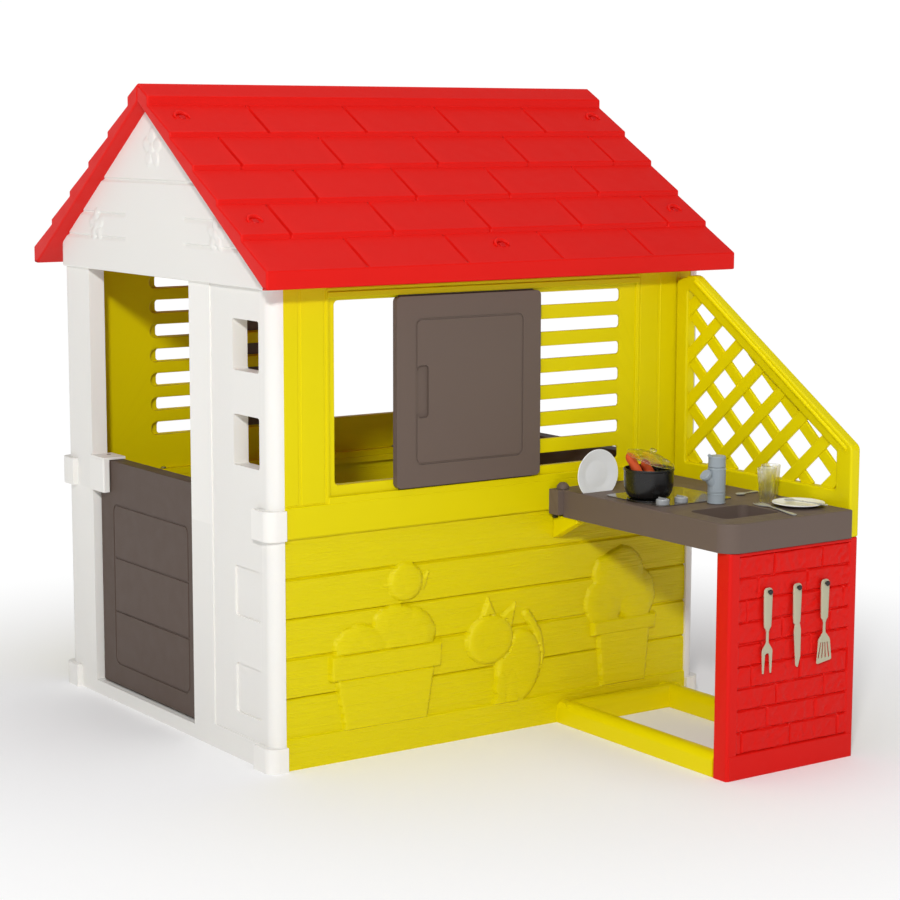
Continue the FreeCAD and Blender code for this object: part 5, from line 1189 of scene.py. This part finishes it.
def spout_flare():
    """The spout's wide mouth with its dished end, and a collar where it leaves the sleeve."""
    cx, cy, _ = middle_of("tap_base")
    rise = math.radians(42.0)
    ahead = Vector((0, -math.cos(rise), math.sin(rise)))
    start = Vector((cx, cy, cad("tap_spout_sleeve")[0][2] + 10.0))
    # Distance from the tap's middle line, and the radius there.
    stops = ((13.0, 10.5), (20.0, 9.6), (25.0, 8.2), (29.0, 8.0), (32.0, 10.6), (34.0, 11.4), (38.6, 11.6),
             (40.0, 10.8), (40.2, 9.0), (38.0, 8.6), (37.6, 0.6))
    return tube([start + ahead * stop for stop, _ in stops], [radius for _, radius in stops], 32)


# Stations along a spoon and a fork: distance from the tip, half the width, then the height of
# the middle and of the edges.
SPOON_HEAD = ((0.2, 1.0, 1.6, 2.6), (2, 5.0, 1.0, 2.9), (6, 8.6, 0.5, 3.0), (11, 10.3, 0.3, 3.0),
              (17, 8.8, 0.5, 3.0), (21, 5.0, 1.2, 2.8), (24, 2.6, 2.0, 2.7), (30, 2.0, 2.1, 2.4))
FORK_HEAD = ((24, 10.4, 1.3, 1.5), (28, 10.8, 1.2, 1.5), (34, 9.8, 1.2, 1.6), (40, 6.4, 1.5, 2.0),
             (45, 3.4, 2.0, 2.4), (52, 2.4, 2.1, 2.4))


def cutlery(node, kind):
    """A fork or a spoon with an arched handle, lying where its CAD node lies."""
    points = np.array([[(v.co.x - AXIS_X) * 1000, v.co.y * 1000, v.co.z * 1000]
                       for v in frame["nodes"][node].data.vertices])
    flat, base = points[:, :2], points[:, 2].min()
    tall = points[:, 2].max() - base
    middle = (flat.max(0) + flat.min(0)) / 2
    # The long axis points to the end that is wider: the head.
    along = np.linalg.svd(flat - flat.mean(0), full_matrices=False)[2][0]
    side = np.array([-along[1], along[0]])
    reach, offset = (flat - middle) @ along, np.abs((flat - middle) @ side)
    near_end = reach.max() * 0.8
    if offset[-reach > near_end].max() > offset[reach > near_end].max():
        along, side, reach = -along, -side, -reach
    far = reach.max()
    length = far - reach.min()

    def at(down, across, lift):
        p = middle + along * (far - down) + side * across
        return (p[0], p[1], base + lift)

    if kind == "spoon":
        stations = SPOON_HEAD + ((length * 0.62, 2.6, 1.5, 1.9), (length * 0.85, 4.4, 0.9, 1.4),
                                 (length - 3, 4.6, 0.8, 1.3), (length - 0.3, 2.4, 0.9, 1.3))
    else:
        stations = FORK_HEAD + ((length * 0.62, 2.6, 1.6, 2.0), (length * 0.86, 5.0, 0.9, 1.4),
                                (length - 3, 5.4, 0.8, 1.3), (length - 0.3, 3.0, 0.9, 1.3))
    steps = (-1, -0.6, -0.25, 0.25, 0.6, 1)
    rings = []
    for down, half, mid, edge in stations:
        def curve(t):
            return edge * t * t + mid * (1 - t * t)
        top = [at(down, half * t, min(tall, 0.35 + curve(t)) + 0.55) for t in steps]
        under = [at(down, half * t * 0.96, max(0.0, curve(t) - 0.55)) for t in steps[::-1]]
        rings.append([(x, y, min(z, base + tall)) for x, y, z in top + under])
    shape = loft(rings)
    if kind == "fork":
        for k in (-1.5, -0.5, 0.5, 1.5):
            shape.join(tube([at(26, k * 6.2, 1.5), at(18, k * 6.3, 1.1), at(8, k * 6.3, 1.1),
                             at(0.6, k * 6.1, 1.9)], [1.5, 1.35, 1.2, 0.6], 10))
    return shape


# ---------------------------------------------------------------- the whole house

# Nodes whose look differs from their slot's usual material. The doors' darker taupe is painted shade, standing in
# for the shade that falls on them.
OTHER_LOOK = {"tool_hooks": "black_plastic", "front_half_door": "taupe_painted_door_shade", "back_half_door": "taupe_painted_door_shade"}


def build():
    """Every piece of the house."""
    sides = (("lower_wall", lower_side_wall(), "yellow_boards"), ("upper_wall", upper_side_wall(), None),
             ("roof_half", roof_half_shape().join(screw_marks()), None))
    for name, shape, material in sides:
        piece("right_" + name + "_looks", shape, "right_" + name, material)
        piece("left_" + name + "_looks", shape.half_turned(), "left_" + name, material)
    gable = gable_shape()
    piece("front_gable_looks", gable, "front_gable")
    piece("back_gable_looks", gable.half_turned(), "back_gable")
    piece("brick_panel", brick_panel(), "kitchen_side_panel")
    piece("trellis", trellis(), "kitchen_lattice_panel")
    piece("floor_bars", floor_frame_shape(), "floor_frame")

    for node, head in (("hanging_fork", fork_head), ("hanging_knife", knife_head),
                       ("hanging_spatula", spatula_head)):
        piece(node + "_looks", tool_on_panel(node, head), node)
    for node in ("tumbler_1", "tumbler_2"):
        piece(node + "_looks", tumbler_shape(node), node, smooth=50)
    low, high = cad("upright_plate")
    dish = dish_shape((high[2] - low[2]) / 2, high[0] - low[0])
    _, y, z = middle_of("upright_plate")
    piece("rack_dish", dish.moved(lambda p: Vector((low[0] + p.z, y + p.y, z + p.x))), "upright_plate")
    place = middle_of("flat_plate")
    place.z = cad("flat_plate")[0][2]
    piece("table_dish", dish.moved(lambda p: p + place), "flat_plate")
    piece("pot_looks", pot_shape(), "cooking_pot")
    piece("sausages_looks", sausage_shape(), "toy_sausages", smooth=60)

    for node, kind in (("table_fork", "fork"), ("side_spoon", "spoon"), ("plate_spoon", "spoon")):
        piece(node + "_looks", cutlery(node, kind), node, smooth=50)
    piece("tap_foot_rings", tap_rings((2.0, 18.6)), "tap_base", replaces=())
    piece("tap_sleeve_rings", tap_rings((24.5, 66.0)), "tap_spout_sleeve", replaces=())
    piece("tap_spout_mouth", spout_flare(), "tap_spout_sleeve", replaces=())

    for node in sorted(frame["nodes"]):
        if node not in SHOWN:
            width = 2.4 if node.endswith("end_wall") else 1.4
            soften(node, width, OTHER_LOOK.get(node))


# ---------------------------------------------------------------- floor, light and camera

# Places are in metres, powers in watts. The floor and the horizon glow alike, so that they meet
# without a line; above WALL_BAND the world dims to ROOM_LIGHT.
CAMERA_PLACE = (3.741, -2.567, 1.199)
CAMERA_TARGET = (0.067, -0.025, 0.553)
CAMERA_LENS = 90.88
CAMERA_ROLL = 0.123
WALL_BAND = 0.06
WALL_LIGHT = 1.02
ROOM_LIGHT = 0.26
LIGHTS = (
    ("key", (4.2, -3.3, 2.9), 0.45, 168.0),
    ("overhead", (0.4, -0.2, 5.5), 5.0, 100.0),
    ("fill", (-1.0, -4.9, 2.0), 3.0, 6.0),
)


def studio():
    """A plain pale floor, soft lights and the camera."""
    scene = bpy.context.scene
    tree = Nodes("pale_studio_floor")
    tone = tree.mix(tree.noise(1.3, 2.0), linear((249, 249, 250)), linear((252, 252, 253)))
    matt = tree.node("BsdfPrincipled", {"Base Color": tone, "Roughness": 0.8,
                                        "Normal": tree.bump(tree.noise(300.0), 0.0002)})
    # The floor runs out into the white of the studio wall, with no line between them.
    away = tree.node("VectorMath", {0: tree.coordinates}, operation="LENGTH").outputs["Value"]
    fade = tree.node("MapRange", {"Value": away, "From Min": 0.6, "From Max": 1.9, "To Min": 0.12,
                                  "To Max": 1.0}, interpolation_type="SMOOTHSTEP").outputs[0]
    glow = tree.node("Emission", {"Color": (1.0, 1.0, 1.0, 1.0), "Strength": WALL_LIGHT})
    blend = tree.node("MixShader", {0: fade, 1: matt.outputs[0], 2: glow.outputs[0]})
    mesh = bpy.data.meshes.new("studio_floor")
    reach = 40.0
    mesh.from_pydata([(-reach, -reach, 0), (reach, -reach, 0), (reach, reach, 0), (-reach, reach, 0)], [],
                     [(0, 1, 2, 3)])
    mesh.materials.append(tree.finish(blend))
    floor = bpy.data.objects.new("studio_floor", mesh)
    scene.collection.objects.link(floor)

    world = bpy.data.worlds.new("studio_world")
    world.use_nodes = True
    sky = world.node_tree
    # A bright band at the horizon is the white studio wall; the room above it is dimmer.
    place = sky.nodes.new("ShaderNodeTexCoord").outputs["Generated"]
    height = sky.nodes.new("ShaderNodeSeparateXYZ")
    fade = sky.nodes.new("ShaderNodeMapRange")
    sky.nodes["Background"].inputs["Color"].default_value = (1.0, 1.0, 1.0, 1.0)
    for key, value in (("From Min", WALL_BAND), ("From Max", WALL_BAND + 0.08), ("To Min", WALL_LIGHT),
                       ("To Max", ROOM_LIGHT)):
        fade.inputs[key].default_value = value
    sky.links.new(place, height.inputs[0])
    sky.links.new(height.outputs["Z"], fade.inputs["Value"])
    sky.links.new(fade.outputs[0], sky.nodes["Background"].inputs["Strength"])
    scene.world = world

    middle = Vector((0.0, 0.0, 0.6))
    for name, place, size, power in LIGHTS:
        lamp = bpy.data.lights.new(name, "AREA")
        lamp.shape = "DISK"
        lamp.size = size
        lamp.energy = power
        lit = bpy.data.objects.new(name, lamp)
        lit.location = place
        lit.rotation_euler = (middle - Vector(place)).to_track_quat("-Z", "Y").to_euler()
        scene.collection.objects.link(lit)

    camera = bpy.data.cameras.new("camera")
    camera.sensor_width = 36.0
    camera.lens = CAMERA_LENS
    camera.clip_end = 200.0
    view = bpy.data.objects.new("camera", camera)
    ahead = Vector(CAMERA_TARGET) - Vector(CAMERA_PLACE)
    turn = ahead.to_track_quat("-Z", "Y").to_matrix().to_4x4()
    roll = Matrix.Rotation(math.radians(CAMERA_ROLL), 4, "Z")
    view.matrix_world = Matrix.Translation(CAMERA_PLACE) @ turn @ roll
    scene.collection.objects.link(view)
    scene.camera = view
    scene.view_settings.view_transform = "Standard"


build()
studio()
